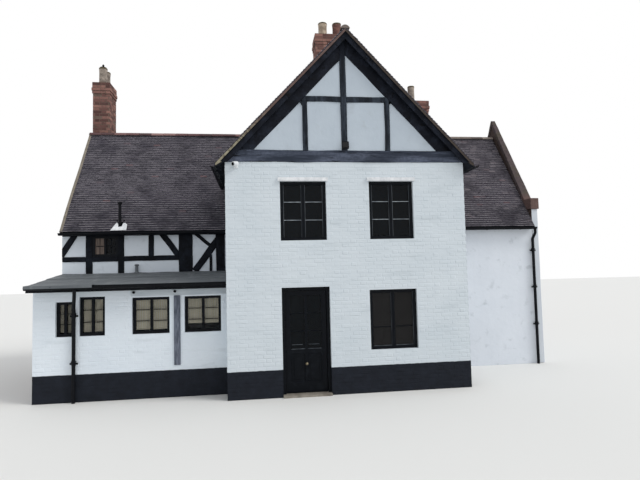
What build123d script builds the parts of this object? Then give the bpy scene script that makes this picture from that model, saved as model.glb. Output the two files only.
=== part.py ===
from build123d import *
import os
from math import cos, radians, sin, tan

os.makedirs("parts", exist_ok=True)

# A half timbered house: a gabled brick wing that stands forward of a long range on each side,
# a lean-to in the corner on the left, and a parapet gable at the right end.
# Lengths are millimetres. X runs right along the front, Y runs back into the house, Z is up.
# The origin is on the ground under the middle of the wing's front wall.

# Wall thicknesses
brick_wall = 340
rendered_wall = 230
party_wall_thick = 150
parapet_thick = 170

# Gabled wing
wing_width = 4800
wing_rear_projection = 474
wing_wall_height = 4530
wing_pitch = 46.7
wing_eave_overhang = 166
verge_overhang = 160

# Long range on both sides of the wing
range_set_back = 1900
range_depth = 3626
range_wall_height = 3400
range_pitch = 54.2
range_eave_overhang = 135
left_range_length = 3660
right_range_length = 2755

# Lean-to on the left
lean_to_set_back = 525
lean_to_wall_height = 2150
lean_to_pitch = 7.25
lean_to_overhang = 275
lean_to_roof_thick = 110
fascia_height = 120
fascia_thick = 35

# Roof covering, with its boards and battens, measured square to the slope
roof_skin = 80
eave_edge = 45
ridge_radius = 115
wing_ridge_sink = 20
range_ridge_sink = 60

# Floors
ground_floor_thick = 40
wing_floor_level = 2550
loft_floor_level = 2300
floor_thick = 200

# Gable timbers
timber_thick = 150
timber_proud = 20
panel_thick = 110
rafter_depth = 290
tie_beam_height = 230
collar_rise = 1215
collar_height = 110
king_post_width = 120
king_post_offset = -50
stud_width = 100
stud_offset = 832
bargeboard_depth = 97
bargeboard_rise = 40
bargeboard_thick = 30
bargeboard_foot = 30
purlin_size = 55
purlin_level_rise = 1180

# Timber frame of the left range
frame_foot = 2350
sole_height = 90
plate_height = 130
rail_rise = 260
rail_height = 110
brace_widths = (130, 130, 150, 75)
# Places along the frame are distances from the wing, and places up it are depths below the plate
post_spans = ((3160, 3020), (2480, 2350), (1171, 862), (342, 140))
short_post_span = (1824, 1705)
stub_post_span = (490, 430)
left_brace = ((3416, 0), (3736, 524))
middle_brace = ((1508, 0), (1140, 510))
right_brace = ((205, 0), (817, 830))
knee_brace = ((763, 0), (430, 283))

# Openings for windows, as middle lines or spans, widths and heights
window_reveal = 60
window_depth = 70
window_stile = 55
window_mullion = 48
glass_thick = 8
upper_window_lines = (-900, 868)
upper_window_width = 905
upper_window_height = 1160
upper_window_drop = 380
lower_window_line = 851
lower_window_width = 958
lower_window_sill = 820
lower_window_head = 1990
lean_to_window_spans = ((3253, 2928), (2827, 2349), (1847, 1138), (851, 143))
lean_to_window_sill = 1240
lean_to_window_drops = (244, 159, 197, 200)
rear_window_width = 900
rear_window_height = 1000
left_rear_window_lines = (2650, 850)
right_rear_window_line = 1600
rear_window_sill = 950
drip_height = 70
drip_depth = 45
drip_lap = 40

# Front door
door_left = -1355
door_width = 937
door_head = 2080
sill_nose = 60
door_frame_face = 60
door_frame_depth = 90
door_frame_reveal = 80
door_gap = 6
door_foot_gap = 10
door_thick = 45
door_stile = 100
door_top_rail = 95
door_muntin = 45
door_glass_sill = 879
door_panel_foot = 250
door_panel_top = 800
door_panel_sink = 14
knob_radius = 28
knob_neck_radius = 11
knob_reach = 60
knob_level = 600
hinge_levels = (200, 985, 1770)
hinge_length = 90
hinge_barrel_radius = 9
hinge_pin_radius = 6
hinge_clearance = 0.3
hinge_plate_width = 40
hinge_plate_thick = 3

# Chimneys. A lead is how far a stack's front stands before the ranges' ridge line,
# and a rise is how far its top stands over the nearest ridge
middle_stack_offset = -100
middle_stack_width = 920
middle_stack_lead = 13
middle_stack_depth = 600
middle_stack_rise = 1786
left_stack_inset = 45
left_stack_width = 415
left_stack_lead = -60
left_stack_depth = 600
left_stack_rise = 1415
right_stack_width = 600
right_stack_lead = 263
right_stack_depth = 500
right_stack_rise = 988
cap_course = 75
cap_step = 14
cap_steps = (1, 2, 1, 1)
pot_wall = 22
pot_rim = 45
pot_lip = 16
middle_pot_offsets = (247, 657)
middle_pot_radii = (128, 135)
middle_pot_height = 437
left_pot_offsets = (170, 450)
left_pot_radius = 110
left_pot_height = 440
right_pot_offset = 197
right_pot_radius = 100
right_pot_height = 485

# Parapet gable, steeper than the roof beside it
parapet_pitch = 58.4
coping_peak_rise = 530
coping_thick = 90
coping_lap = 20
kneeler_rise = 393
kneeler_height = 270
kneeler_depth = 230
kneeler_nose = 40

# Rainwater goods and the flue
gutter_radius = 55
gutter_wall = 6
lean_to_gutter_drop = 20
downpipe_radius = 34
downpipe_off_wall = 60
neck_drop = 90
neck_radius = 60
left_downpipe_offset = 2900
flue_offset = 2430
flue_radius = 32
flue_rise = 620
flue_cowl_radius = 50
flue_cowl_height = 45
flashing_width = 340
flashing_run = 210
flashing_thick = 10

# Lines worked out from the sizes above
face = -brick_wall / 2
wing_depth = range_set_back + range_depth + wing_rear_projection
back = face + wing_depth
half_wing = wing_width / 2
left_end = half_wing + left_range_length
right_end = half_wing + right_range_length
wing_middle = Plane.XZ.offset(-(face + wing_depth / 2))
range_front = face + range_set_back
range_back = range_front + range_depth
half_range = range_depth / 2
ridge_line = range_front + half_range
lean_to_front = face + lean_to_set_back
party_inner = -left_end + party_wall_thick
parapet_inner = right_end - parapet_thick
door_right = door_left + door_width
middle_stack_sides = (middle_stack_offset, middle_stack_offset + middle_stack_width)
left_stack_edge = -left_end + left_stack_inset
left_stack_sides = (left_stack_edge, left_stack_edge + left_stack_width)
right_stack_sides = (half_wing, half_wing + right_stack_width)
kneeler_level = range_wall_height + kneeler_rise
flue_line = -half_wing - flue_offset


def block(x_span, y_span, z_span, mode=Mode.ADD):
    """A plain block between two corners."""
    middle = [(low + high) / 2 for low, high in (x_span, y_span, z_span)]
    with Locations(tuple(middle)):
        Box(
            x_span[1] - x_span[0],
            y_span[1] - y_span[0],
            z_span[1] - z_span[0],
            mode=mode,
        )


def prism_back(outline, y_span, mode=Mode.ADD):
    """A prism that runs from front to back, from an outline of (x, z) points."""
    with BuildSketch(Plane.XZ.offset(-y_span[0])) as section:
        with BuildLine():
            Polyline(*outline, close=True)
        make_face()
    extrude(section.sketch, amount=y_span[0] - y_span[1], mode=mode)


def prism_along(outline, x_span, mode=Mode.ADD):
    """A prism that runs along the house, from an outline of (y, z) points."""
    with BuildSketch(Plane.YZ.offset(x_span[0])) as section:
        with BuildLine():
            Polyline(*outline, close=True)
        make_face()
    extrude(section.sketch, amount=x_span[1] - x_span[0], mode=mode)


def leg(start, end, width):
    """Outline of a straight timber between two points, as (x, z) points."""
    along = Vector(end[0] - start[0], end[1] - start[1]).normalized()
    aside = Vector(-along.Y, along.X) * (width / 2)
    first = Vector(*start)
    last = Vector(*end)
    corners = (first + aside, last + aside, last - aside, first - aside)
    return [(corner.X, corner.Y) for corner in corners]


def left_of_wing(span):
    """Lines along the left range, from distances to the left of the wing."""
    return [-half_wing - distance for distance in span]


def keep(piece, name):
    """Name a finished piece and write it out."""
    piece.part.label = name
    export_step(piece.part, f"parts/{name}.step")


# Roof forms, given as points across the span from the ridge
def underside(half_span, wall_height, pitch, across):
    """Height of a roof's underside at a distance from the ridge line."""
    return wall_height + (half_span - across) * tan(radians(pitch))


def roof_side(half_span, wall_height, pitch, overhang, side):
    """Outline of one roof slope, from the ridge out to its eave."""
    thick = roof_skin / cos(radians(pitch))
    peak = underside(half_span, wall_height, pitch, 0)
    edge = underside(half_span, wall_height, pitch, half_span + overhang) + thick
    return [
        (0, peak),
        (side * half_span, wall_height),
        (side * (half_span + overhang), edge - eave_edge),
        (side * (half_span + overhang), edge),
        (0, peak + thick),
    ]


def roof_over_walls(half_span, wall_height, pitch, overhang):
    """Outline of a whole house section, walls and both slopes."""
    right = roof_side(half_span, wall_height, pitch, overhang, 1)
    left = roof_side(half_span, wall_height, pitch, overhang, -1)
    return [(-half_span, 0), (half_span, 0), *right[1:], *reversed(left[1:-1])]


def shifted(outline, offset):
    """The same outline moved sideways."""
    return [(across + offset, height) for across, height in outline]


wing_roof_sizes = (half_wing, wing_wall_height, wing_pitch, wing_eave_overhang)
range_roof_sizes = (half_range, range_wall_height, range_pitch, range_eave_overhang)
wing_section = roof_over_walls(*wing_roof_sizes)
range_section = shifted(roof_over_walls(*range_roof_sizes), ridge_line)
wing_peak = underside(*wing_roof_sizes[:3], 0)
range_peak = underside(*range_roof_sizes[:3], 0)
wing_roof_rise = roof_skin / cos(radians(wing_pitch))
range_roof_rise = roof_skin / cos(radians(range_pitch))
wing_length = (face - verge_overhang, back + verge_overhang)

wing_ridge = wing_peak + wing_roof_rise
range_ridge = range_peak + range_roof_rise
middle_stack = (
    middle_stack_sides,
    ridge_line - middle_stack_lead,
    middle_stack_depth,
    wing_ridge + middle_stack_rise,
)
left_stack = (
    left_stack_sides,
    ridge_line - left_stack_lead,
    left_stack_depth,
    range_ridge + left_stack_rise,
)
right_stack = (
    right_stack_sides,
    ridge_line - right_stack_lead,
    right_stack_depth,
    range_ridge + right_stack_rise,
)
stacks = (middle_stack, left_stack, right_stack)


def cut_stacks():
    """Clear the way for the three chimney stacks."""
    for sides, front, depth, top in stacks:
        block(sides, (front, front + depth), (0, top), Mode.SUBTRACT)


# Windows, each as left, right, sill and head
def centred_window(line, width, sill, height):
    """A window's opening about its middle line."""
    return (line - width / 2, line + width / 2, sill, sill + height)


upper_window_head = wing_wall_height - upper_window_drop
upper_window_sill = upper_window_head - upper_window_height
lower_window_height = lower_window_head - lower_window_sill
upper_windows = [
    centred_window(line, upper_window_width, upper_window_sill, upper_window_height)
    for line in upper_window_lines
]
lower_window = centred_window(
    lower_window_line, lower_window_width, lower_window_sill, lower_window_height
)
lower_rear_windows = [
    centred_window(line, upper_window_width, lower_window_sill, lower_window_height)
    for line in upper_window_lines
]
lean_to_windows = [
    (*left_of_wing(span), lean_to_window_sill, lean_to_wall_height - drop)
    for span, drop in zip(lean_to_window_spans, lean_to_window_drops)
]
left_rear_windows = [
    centred_window(line, rear_window_width, rear_window_sill, rear_window_height)
    for line in left_of_wing(left_rear_window_lines)
]
right_rear_window = centred_window(
    half_wing + right_rear_window_line, rear_window_width, rear_window_sill, rear_window_height
)
post_lines = [left_of_wing(span) for span in post_spans]
short_post_line = left_of_wing(short_post_span)
stub_post_line = left_of_wing(stub_post_span)
plate_foot = range_wall_height - plate_height
rail_level = frame_foot + sole_height + rail_rise
loft_window = (
    post_lines[0][1],
    post_lines[1][0],
    rail_level + rail_height,
    plate_foot,
)
front_windows = [(window, face + window_reveal) for window in [*upper_windows, lower_window]]
lean_to_fronts = [(window, lean_to_front + window_reveal) for window in lean_to_windows]
loft_fronts = [(loft_window, range_front)]
wing_backs = [
    (window, back - window_reveal - window_depth) for window in [*upper_windows, *lower_rear_windows]
]
range_backs = [
    (window, range_back - window_reveal - window_depth)
    for window in [*left_rear_windows, right_rear_window]
]


def cut_window(window, y_span):
    """Cut one window's opening through a wall."""
    left, right, sill, head = window
    block((left, right), y_span, (sill, head), Mode.SUBTRACT)


def lights(window):
    """The two glazed spans of a window, on each side of its mullion."""
    left, right = window[:2]
    middle = (left + right) / 2
    return (
        (left + window_stile, middle - window_mullion / 2),
        (middle + window_mullion / 2, right - window_stile),
    )


# Brick walls of the wing
with BuildPart() as front_wall_left:
    block((-half_wing, door_left), (face, face + brick_wall), (0, door_head))

with BuildPart() as front_wall_right:
    block((door_right, half_wing), (face, face + brick_wall), (0, door_head))
    cut_window(lower_window, (face, face + brick_wall))

with BuildPart() as front_wall_upper:
    block((-half_wing, half_wing), (face, face + brick_wall), (door_head, wing_wall_height))
    for window in upper_windows:
        cut_window(window, (face, face + brick_wall))

with BuildPart() as wing_left_wall:
    block(
        (-half_wing, -half_wing + brick_wall),
        (face + brick_wall, back - brick_wall),
        (0, wing_wall_height),
    )

with BuildPart() as wing_right_wall:
    block(
        (half_wing - brick_wall, half_wing),
        (face + brick_wall, back - brick_wall),
        (0, wing_wall_height),
    )

with BuildPart() as wing_rear_wall:
    block((-half_wing, half_wing), (back - brick_wall, back), (0, wing_wall_height))
    for window in [*upper_windows, *lower_rear_windows]:
        cut_window(window, (back - brick_wall, back))

# Gable framing, made for the front and repeated at the rear
gable_y = (face - timber_proud, face - timber_proud + timber_thick)
panel_y = (face, face + panel_thick)
tie_top = wing_wall_height + tie_beam_height
wing_slope = tan(radians(wing_pitch))
rafter_drop = rafter_depth / cos(radians(wing_pitch))
collar_level = wing_wall_height + collar_rise
collar_top = collar_level + collar_height


def under_roof(height):
    """Half the width under the wing's roof at a level."""
    return (wing_peak - height) / wing_slope


def under_rafter(height):
    """Half the width between the principal rafters at a level."""
    return (wing_peak - rafter_drop - height) / wing_slope


king_sides = (king_post_offset - king_post_width / 2, king_post_offset + king_post_width / 2)
stud_sides = [
    (side * stud_offset - stud_width / 2, side * stud_offset + stud_width / 2) for side in (-1, 1)
]
tie_outline = [
    (-half_wing, wing_wall_height),
    (half_wing, wing_wall_height),
    (under_roof(tie_top), tie_top),
    (-under_roof(tie_top), tie_top),
]
gable_opening = [
    (-under_rafter(tie_top), tie_top),
    (under_rafter(tie_top), tie_top),
    (0, wing_peak - rafter_drop),
]
attic_opening = [(-under_roof(tie_top), tie_top), (under_roof(tie_top), tie_top), (0, wing_peak)]

with BuildPart() as gable_tie_beams:
    prism_back(tie_outline, gable_y)
    mirror(about=wing_middle)

with BuildPart() as gable_rafters:
    prism_back(attic_opening, gable_y)
    prism_back(gable_opening, gable_y, Mode.SUBTRACT)
    block(king_sides, gable_y, (tie_top, wing_peak), Mode.SUBTRACT)
    mirror(about=wing_middle)

with BuildPart() as gable_king_posts:
    block(king_sides, gable_y, (tie_top, wing_peak))
    prism_back(attic_opening, gable_y, Mode.INTERSECT)
    mirror(about=wing_middle)

with BuildPart() as gable_collars:
    block((-half_wing, half_wing), gable_y, (collar_level, collar_top))
    prism_back(gable_opening, gable_y, Mode.INTERSECT)
    block(king_sides, gable_y, (collar_level, collar_top), Mode.SUBTRACT)
    mirror(about=wing_middle)

with BuildPart() as gable_studs:
    for stud in stud_sides:
        block(stud, gable_y, (tie_top, collar_level))
    prism_back(gable_opening, gable_y, Mode.INTERSECT)
    mirror(about=wing_middle)

with BuildPart() as gable_panels:
    prism_back(gable_opening, panel_y)
    block(king_sides, panel_y, (tie_top, wing_peak), Mode.SUBTRACT)
    block((-half_wing, half_wing), panel_y, (collar_level, collar_top), Mode.SUBTRACT)
    for stud in stud_sides:
        block(stud, panel_y, (tie_top, collar_level), Mode.SUBTRACT)
    mirror(about=wing_middle)

# Bargeboards, let into the verges
board_y = (face - verge_overhang + bargeboard_thick, face - verge_overhang + 2 * bargeboard_thick)
board_top = wing_peak + bargeboard_rise / cos(radians(wing_pitch))
board_under = board_top - bargeboard_depth / cos(radians(wing_pitch))
board_foot = wing_wall_height - bargeboard_foot
board_half = [
    ((board_top - board_foot) / wing_slope, board_foot),
    ((board_under - board_foot) / wing_slope, board_foot),
]
board_outline = [
    (0, board_top),
    *board_half,
    (0, board_under),
    *[(-across, height) for across, height in reversed(board_half)],
]

with BuildPart() as bargeboards:
    prism_back(board_outline, board_y)
    mirror(about=wing_middle)

with BuildPart() as board_rebates:
    prism_back(board_outline, (wing_length[0], board_y[1]))
    mirror(about=wing_middle)

# Purlin ends that carry the verges, between the gable and the bargeboards
purlin_level = wing_wall_height + purlin_level_rise
purlin_across = under_roof(purlin_level)
purlin_end = Vector(cos(radians(wing_pitch)), -sin(radians(wing_pitch))) * purlin_size

with BuildPart() as purlin_ends:
    for side in (-1, 1):
        prism_back(
            [
                (side * purlin_across, purlin_level),
                (side * (purlin_across + purlin_end.X), purlin_level + purlin_end.Y),
                (
                    side * (purlin_across + purlin_end.X + purlin_end.Y),
                    purlin_level + purlin_end.Y - purlin_end.X,
                ),
                (side * (purlin_across + purlin_end.Y), purlin_level - purlin_end.X),
            ],
            (board_y[1], gable_y[0]),
        )
    mirror(about=wing_middle)

# Wing roof
with BuildPart() as wing_roof_left:
    prism_back(roof_side(*wing_roof_sizes, -1), wing_length)
    add(board_rebates.part, mode=Mode.SUBTRACT)
    cut_stacks()

with BuildPart() as wing_roof_right:
    prism_back(roof_side(*wing_roof_sizes, 1), wing_length)
    add(board_rebates.part, mode=Mode.SUBTRACT)
    cut_stacks()

# Party wall at the left end, the lean-to's end and the range's gable in one
lean_slope = tan(radians(lean_to_pitch))


def lean_under(y):
    """Height of the lean-to roof's underside at a line behind the front."""
    return lean_to_wall_height + (y - lean_to_front) * lean_slope


lean_wall_back = lean_to_front + rendered_wall
frame_back = range_front + timber_thick
range_slope = tan(radians(range_pitch))


def range_under(y):
    """Height of the long range's roof underside at a line behind the front."""
    return range_wall_height + (y - range_front) * range_slope


with BuildPart() as party_wall:
    prism_along(
        [
            (lean_wall_back, 0),
            (lean_wall_back, lean_under(lean_wall_back)),
            (range_front, lean_under(range_front)),
            (range_front, frame_foot),
            (frame_back, frame_foot),
            (frame_back, range_under(frame_back)),
            (ridge_line, range_peak),
            (range_back, range_wall_height),
            (range_back, 0),
        ],
        (-left_end, party_inner),
    )
    cut_stacks()

# Wall under the timber frame
with BuildPart() as left_low_wall:
    block((party_inner, -half_wing), (range_front, range_front + rendered_wall), (0, frame_foot))

# Timber frame over it: sole, posts, rails, braces and panels
frame_y = (range_front, frame_back)
frame_panel_y = (range_front + timber_proud, range_front + timber_proud + panel_thick)
sole_top = frame_foot + sole_height
rail_top = rail_level + rail_height
frame_span = (-left_end, -half_wing)
rail_end = post_lines[2][0]
brace_lines = [
    [(-half_wing - distance, plate_foot - drop) for distance, drop in brace]
    for brace in (left_brace, middle_brace, right_brace, knee_brace)
]


def cut_posts(y_span):
    """Take the posts' places out of what runs between them."""
    for line in post_lines:
        block(line, y_span, (sole_top, plate_foot), Mode.SUBTRACT)
    block(short_post_line, y_span, (rail_top, plate_foot), Mode.SUBTRACT)


with BuildPart() as frame_plates:
    block(frame_span, frame_y, (frame_foot, sole_top))
    prism_along(
        [
            (range_front, plate_foot),
            (frame_back, plate_foot),
            (frame_back, range_under(frame_back)),
            (range_front, range_wall_height),
        ],
        frame_span,
    )

with BuildPart() as frame_posts:
    for line in post_lines:
        block(line, frame_y, (sole_top, plate_foot))
    block(short_post_line, frame_y, (rail_top, plate_foot))

with BuildPart() as frame_rails:
    block((-left_end, rail_end), frame_y, (rail_level, rail_top))
    cut_posts(frame_y)

with BuildPart() as frame_braces:
    for (start, end), width in zip(brace_lines, brace_widths):
        prism_back(leg(start, end, width), frame_y)
    block(stub_post_line, frame_y, (sole_top, rail_top))
    block(frame_span, frame_y, (sole_top, plate_foot), Mode.INTERSECT)
    cut_posts(frame_y)
    block((-left_end, rail_end), frame_y, (rail_level, rail_top), Mode.SUBTRACT)

with BuildPart() as frame_panels:
    block(frame_span, frame_panel_y, (sole_top, plate_foot))
    cut_posts(frame_panel_y)
    block((-left_end, rail_end), frame_panel_y, (rail_level, rail_top), Mode.SUBTRACT)
    cut_window(loft_window, frame_panel_y)
    add(frame_braces.part, mode=Mode.SUBTRACT)

# Rear wall of the long range, left of the wing
rear_wall_outline = [
    (range_back - rendered_wall, 0),
    (range_back - rendered_wall, range_wall_height + rendered_wall * range_slope),
    (range_back, range_wall_height),
    (range_back, 0),
]
rear_wall_y = (range_back - rendered_wall, range_back)

with BuildPart() as left_rear_wall:
    prism_along(rear_wall_outline, (party_inner, -half_wing))
    for window in left_rear_windows:
        cut_window(window, rear_wall_y)

# Lean-to
with BuildPart() as lean_to_wall:
    prism_along(
        [
            (lean_to_front, 0),
            (lean_to_front, lean_to_wall_height),
            (lean_wall_back, lean_under(lean_wall_back)),
            (lean_wall_back, 0),
        ],
        (-left_end, -half_wing),
    )
    for window in lean_to_windows:
        cut_window(window, (lean_to_front, lean_wall_back))

lean_edge = lean_to_front - lean_to_overhang
fascia_top = lean_under(lean_edge) + lean_to_roof_thick

with BuildPart() as lean_to_roof:
    prism_along(
        [
            (lean_edge, lean_under(lean_edge)),
            (range_front, lean_under(range_front)),
            (range_front, lean_under(range_front) + lean_to_roof_thick),
            (lean_edge, lean_under(lean_edge) + lean_to_roof_thick),
        ],
        (-left_end, -half_wing),
    )

with BuildPart() as lean_to_fascia:
    block(
        (-left_end, -half_wing),
        (lean_edge - fascia_thick, lean_edge),
        (fascia_top - fascia_height, fascia_top),
    )


# Roof slopes of the long range, cut where they run into the wing
def range_slope_piece(x_span, side):
    """One slope of the long range between two lines."""
    with BuildPart() as slope_piece:
        prism_along(shifted(roof_side(*range_roof_sizes, side), ridge_line), x_span)
        prism_back(wing_section, wing_length, Mode.SUBTRACT)
        cut_stacks()
    return slope_piece


left_roof_front = range_slope_piece((-left_end, 0), -1)
left_roof_rear = range_slope_piece((-left_end, 0), 1)
right_roof_front = range_slope_piece((0, parapet_inner), -1)
right_roof_rear = range_slope_piece((0, parapet_inner), 1)

# Walls of the right range
with BuildPart() as right_front_wall:
    prism_along(
        [
            (range_front, 0),
            (range_front, range_wall_height),
            (range_front + rendered_wall, range_under(range_front + rendered_wall)),
            (range_front + rendered_wall, 0),
        ],
        (half_wing, parapet_inner),
    )

with BuildPart() as right_rear_wall:
    prism_along(rear_wall_outline, (half_wing, parapet_inner))
    cut_window(right_rear_window, rear_wall_y)

# Parapet gable with its coping and kneelers
coping_rise = coping_thick / cos(radians(parapet_pitch))
coping_slope = tan(radians(parapet_pitch))
coping_peak = range_ridge + coping_peak_rise
kneeler_top = kneeler_level + kneeler_height
kneeler_back = ridge_line - (coping_peak - kneeler_top) / coping_slope
kneeler_inner = range_front + kneeler_depth


def parapet_top(y):
    """Height of the coping's bed on the front slope."""
    return coping_peak - (ridge_line - y) * coping_slope - coping_rise


parapet_half = [
    (range_front, 0),
    (range_front, kneeler_level),
    (kneeler_inner, kneeler_level),
    (kneeler_inner, parapet_top(kneeler_inner)),
    (ridge_line, parapet_top(ridge_line)),
]
coping_half = [
    (range_front - kneeler_nose, kneeler_level),
    (range_front - kneeler_nose, kneeler_top),
    (kneeler_back, kneeler_top),
    (ridge_line, coping_peak),
    (ridge_line, parapet_top(ridge_line)),
    (kneeler_inner, parapet_top(kneeler_inner)),
    (kneeler_inner, kneeler_level),
]
range_middle = Plane.XZ.offset(-ridge_line)

with BuildPart() as parapet_gable:
    prism_along([*parapet_half, (ridge_line, 0)], (parapet_inner, right_end))
    mirror(about=range_middle)

with BuildPart() as parapet_coping:
    prism_along(coping_half, (parapet_inner - coping_lap, right_end + coping_lap))
    prism_along(range_section, (parapet_inner - coping_lap, parapet_inner), Mode.SUBTRACT)
    mirror(about=range_middle)


# Ridge tiles
def ridge_bed(section, plane, sink):
    """Section of a half round ridge tile that sits over a roof's peak."""
    peak_height = max(height for across, height in section)
    peak_across = [across for across, height in section if height == peak_height][0]
    with BuildSketch(plane) as tile_section:
        with Locations((peak_across, peak_height - sink)):
            Circle(ridge_radius)
        with BuildLine():
            Polyline(*section, close=True)
        make_face(mode=Mode.SUBTRACT)
    return tile_section.sketch


with BuildPart() as ridge_tiles:
    extrude(
        ridge_bed(wing_section, Plane.XZ.offset(-wing_length[0]), wing_ridge_sink),
        amount=wing_length[0] - wing_length[1],
    )
    extrude(
        ridge_bed(range_section, Plane.YZ.offset(-left_end), range_ridge_sink),
        amount=left_end + parapet_inner,
    )
    prism_back(wing_section, wing_length, Mode.SUBTRACT)
    cut_stacks()


# Chimney stacks with stepped caps, and their pots
def stack_cap(sides, front, depth, top):
    """The stepped courses at the head of a stack."""
    for index, step in enumerate(cap_steps):
        level = top - cap_course * (len(cap_steps) - index)
        out = step * cap_step
        block(
            (sides[0] - out, sides[1] + out),
            (front - out, front + depth + out),
            (level, level + cap_course),
        )


with BuildPart() as chimney_stacks:
    for sides, front, depth, top in stacks:
        block(sides, (front, front + depth), (0, top))
        stack_cap(sides, front, depth, top)


def pot(x, y, level, radius, height):
    """A tapered clay pot with a rolled rim."""
    with Locations((x, y, level)):
        Cone(radius, radius - pot_lip, height, align=(Align.CENTER, Align.CENTER, Align.MIN))
    with Locations((x, y, level + height - pot_rim)):
        Cylinder(radius, pot_rim, align=(Align.CENTER, Align.CENTER, Align.MIN))
    with Locations((x, y, level)):
        Cylinder(
            radius - pot_lip - pot_wall,
            height,
            align=(Align.CENTER, Align.CENTER, Align.MIN),
            mode=Mode.SUBTRACT,
        )


with BuildPart() as chimney_pots:
    sides, front, depth, top = middle_stack
    for offset, radius in zip(middle_pot_offsets, middle_pot_radii):
        pot(sides[0] + offset, front + depth / 2, top, radius, middle_pot_height)
    sides, front, depth, top = left_stack
    for offset in left_pot_offsets:
        pot(sum(sides) / 2, front + offset, top, left_pot_radius, left_pot_height)
    sides, front, depth, top = right_stack
    pot(sides[0] + right_pot_offset, front + depth / 2, top, right_pot_radius, right_pot_height)

# Floors inside the walls
wing_room = (
    (-half_wing + brick_wall, half_wing - brick_wall),
    (face + brick_wall, back - brick_wall),
)
left_room = (
    (party_inner, -half_wing),
    (range_front + rendered_wall, range_back - rendered_wall),
)
lean_to_room = ((party_inner, -half_wing), (lean_wall_back, range_front))
right_room = (
    (half_wing, parapet_inner),
    (range_front + rendered_wall, range_back - rendered_wall),
)

with BuildPart() as ground_floors:
    for x_span, y_span in (wing_room, left_room, lean_to_room, right_room):
        block(x_span, y_span, (0, ground_floor_thick))
    cut_stacks()

with BuildPart() as upper_floors:
    block(*wing_room, (wing_floor_level - floor_thick, wing_floor_level))
    block(*left_room, (loft_floor_level - floor_thick, loft_floor_level))
    cut_stacks()


# Window frames and glass
def frames(windows):
    """Frames with one mullion each, set back in their openings."""
    with BuildPart() as frame_set:
        for window, front in windows:
            left, right, sill, head = window
            y_span = (front, front + window_depth)
            block((left, right), y_span, (sill, head))
            for light in lights(window):
                block(light, y_span, (sill + window_stile, head - window_stile), Mode.SUBTRACT)
    return frame_set


wing_window_frames = frames([*front_windows, *wing_backs])
side_window_frames = frames([*lean_to_fronts, *loft_fronts, *range_backs])

with BuildPart() as window_glass:
    for window, front in [*front_windows, *wing_backs, *lean_to_fronts, *loft_fronts, *range_backs]:
        middle = front + window_depth / 2
        sill, head = window[2:]
        for light in lights(window):
            block(
                light,
                (middle - glass_thick / 2, middle + glass_thick / 2),
                (sill + window_stile, head - window_stile),
            )

with BuildPart() as window_drips:
    for left, right, sill, head in upper_windows:
        block((left - drip_lap, right + drip_lap), (face - drip_depth, face), (head, head + drip_height))

# Front door in its frame, hung on the left and opening inwards
frame_front = face + door_frame_reveal
frame_rear = frame_front + door_frame_depth
leaf_y = (frame_rear - door_thick, frame_rear)
leaf_x = (door_left + door_frame_face + door_gap, door_right - door_frame_face - door_gap)
leaf_z = (ground_floor_thick + door_foot_gap, door_head - door_frame_face - door_gap)
leaf_middle = sum(leaf_x) / 2
door_glass_z = (door_glass_sill, leaf_z[1] - door_top_rail)
door_lights = (
    (leaf_x[0] + door_stile, leaf_middle - door_muntin / 2),
    (leaf_middle + door_muntin / 2, leaf_x[1] - door_stile),
)

with BuildPart() as door_sill:
    block((door_left, door_right), (face - sill_nose, face + brick_wall), (0, ground_floor_thick))

with BuildPart() as door_frame:
    block((door_left, door_right), (frame_front, frame_rear), (ground_floor_thick, door_head))
    block(
        (door_left + door_frame_face, door_right - door_frame_face),
        (frame_front, frame_rear),
        (ground_floor_thick, door_head - door_frame_face),
        Mode.SUBTRACT,
    )

with BuildPart() as front_door:
    block(leaf_x, leaf_y, leaf_z)
    for light in door_lights:
        block(light, leaf_y, door_glass_z, Mode.SUBTRACT)
        for y_span in (
            (leaf_y[0], leaf_y[0] + door_panel_sink),
            (leaf_y[1] - door_panel_sink, leaf_y[1]),
        ):
            block(light, y_span, (door_panel_foot, door_panel_top), Mode.SUBTRACT)

with BuildPart() as door_glass:
    for light in door_lights:
        middle = sum(leaf_y) / 2
        block(light, (middle - glass_thick / 2, middle + glass_thick / 2), door_glass_z)

with BuildPart() as door_knob:
    with BuildSketch(Plane.XZ.offset(-leaf_y[0])):
        with Locations((leaf_middle, knob_level)):
            Circle(knob_neck_radius)
    extrude(amount=knob_reach - knob_radius)
    with Locations((leaf_middle, leaf_y[0] - knob_reach + knob_radius, knob_level)):
        Sphere(knob_radius)

# Butt hinges on the inner face, each a plate with a pin in the frame and a knuckle on the leaf
hinge_x = leaf_x[0] - door_gap / 2
hinge_y = frame_rear + hinge_barrel_radius
knuckle_length = hinge_length / 3
plate_gap = hinge_barrel_radius + 2 * hinge_clearance
plate_y = (frame_rear, frame_rear + hinge_plate_thick)


def barrel(radius, z_span, mode=Mode.ADD):
    """A round piece on the hinge line."""
    with Locations((hinge_x, hinge_y, z_span[0])):
        Cylinder(
            radius,
            z_span[1] - z_span[0],
            align=(Align.CENTER, Align.CENTER, Align.MIN),
            mode=mode,
        )


with BuildPart() as door_hinge_pins:
    for level in hinge_levels:
        foot = leaf_z[0] + level
        top = foot + hinge_length
        block((hinge_x - hinge_plate_width, hinge_x - plate_gap), plate_y, (foot, top))
        for z_span in ((foot, foot + knuckle_length), (top - knuckle_length, top)):
            block((hinge_x - plate_gap, hinge_x), plate_y, z_span)
            barrel(hinge_barrel_radius, z_span)
        barrel(hinge_pin_radius, (foot, top))

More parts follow.
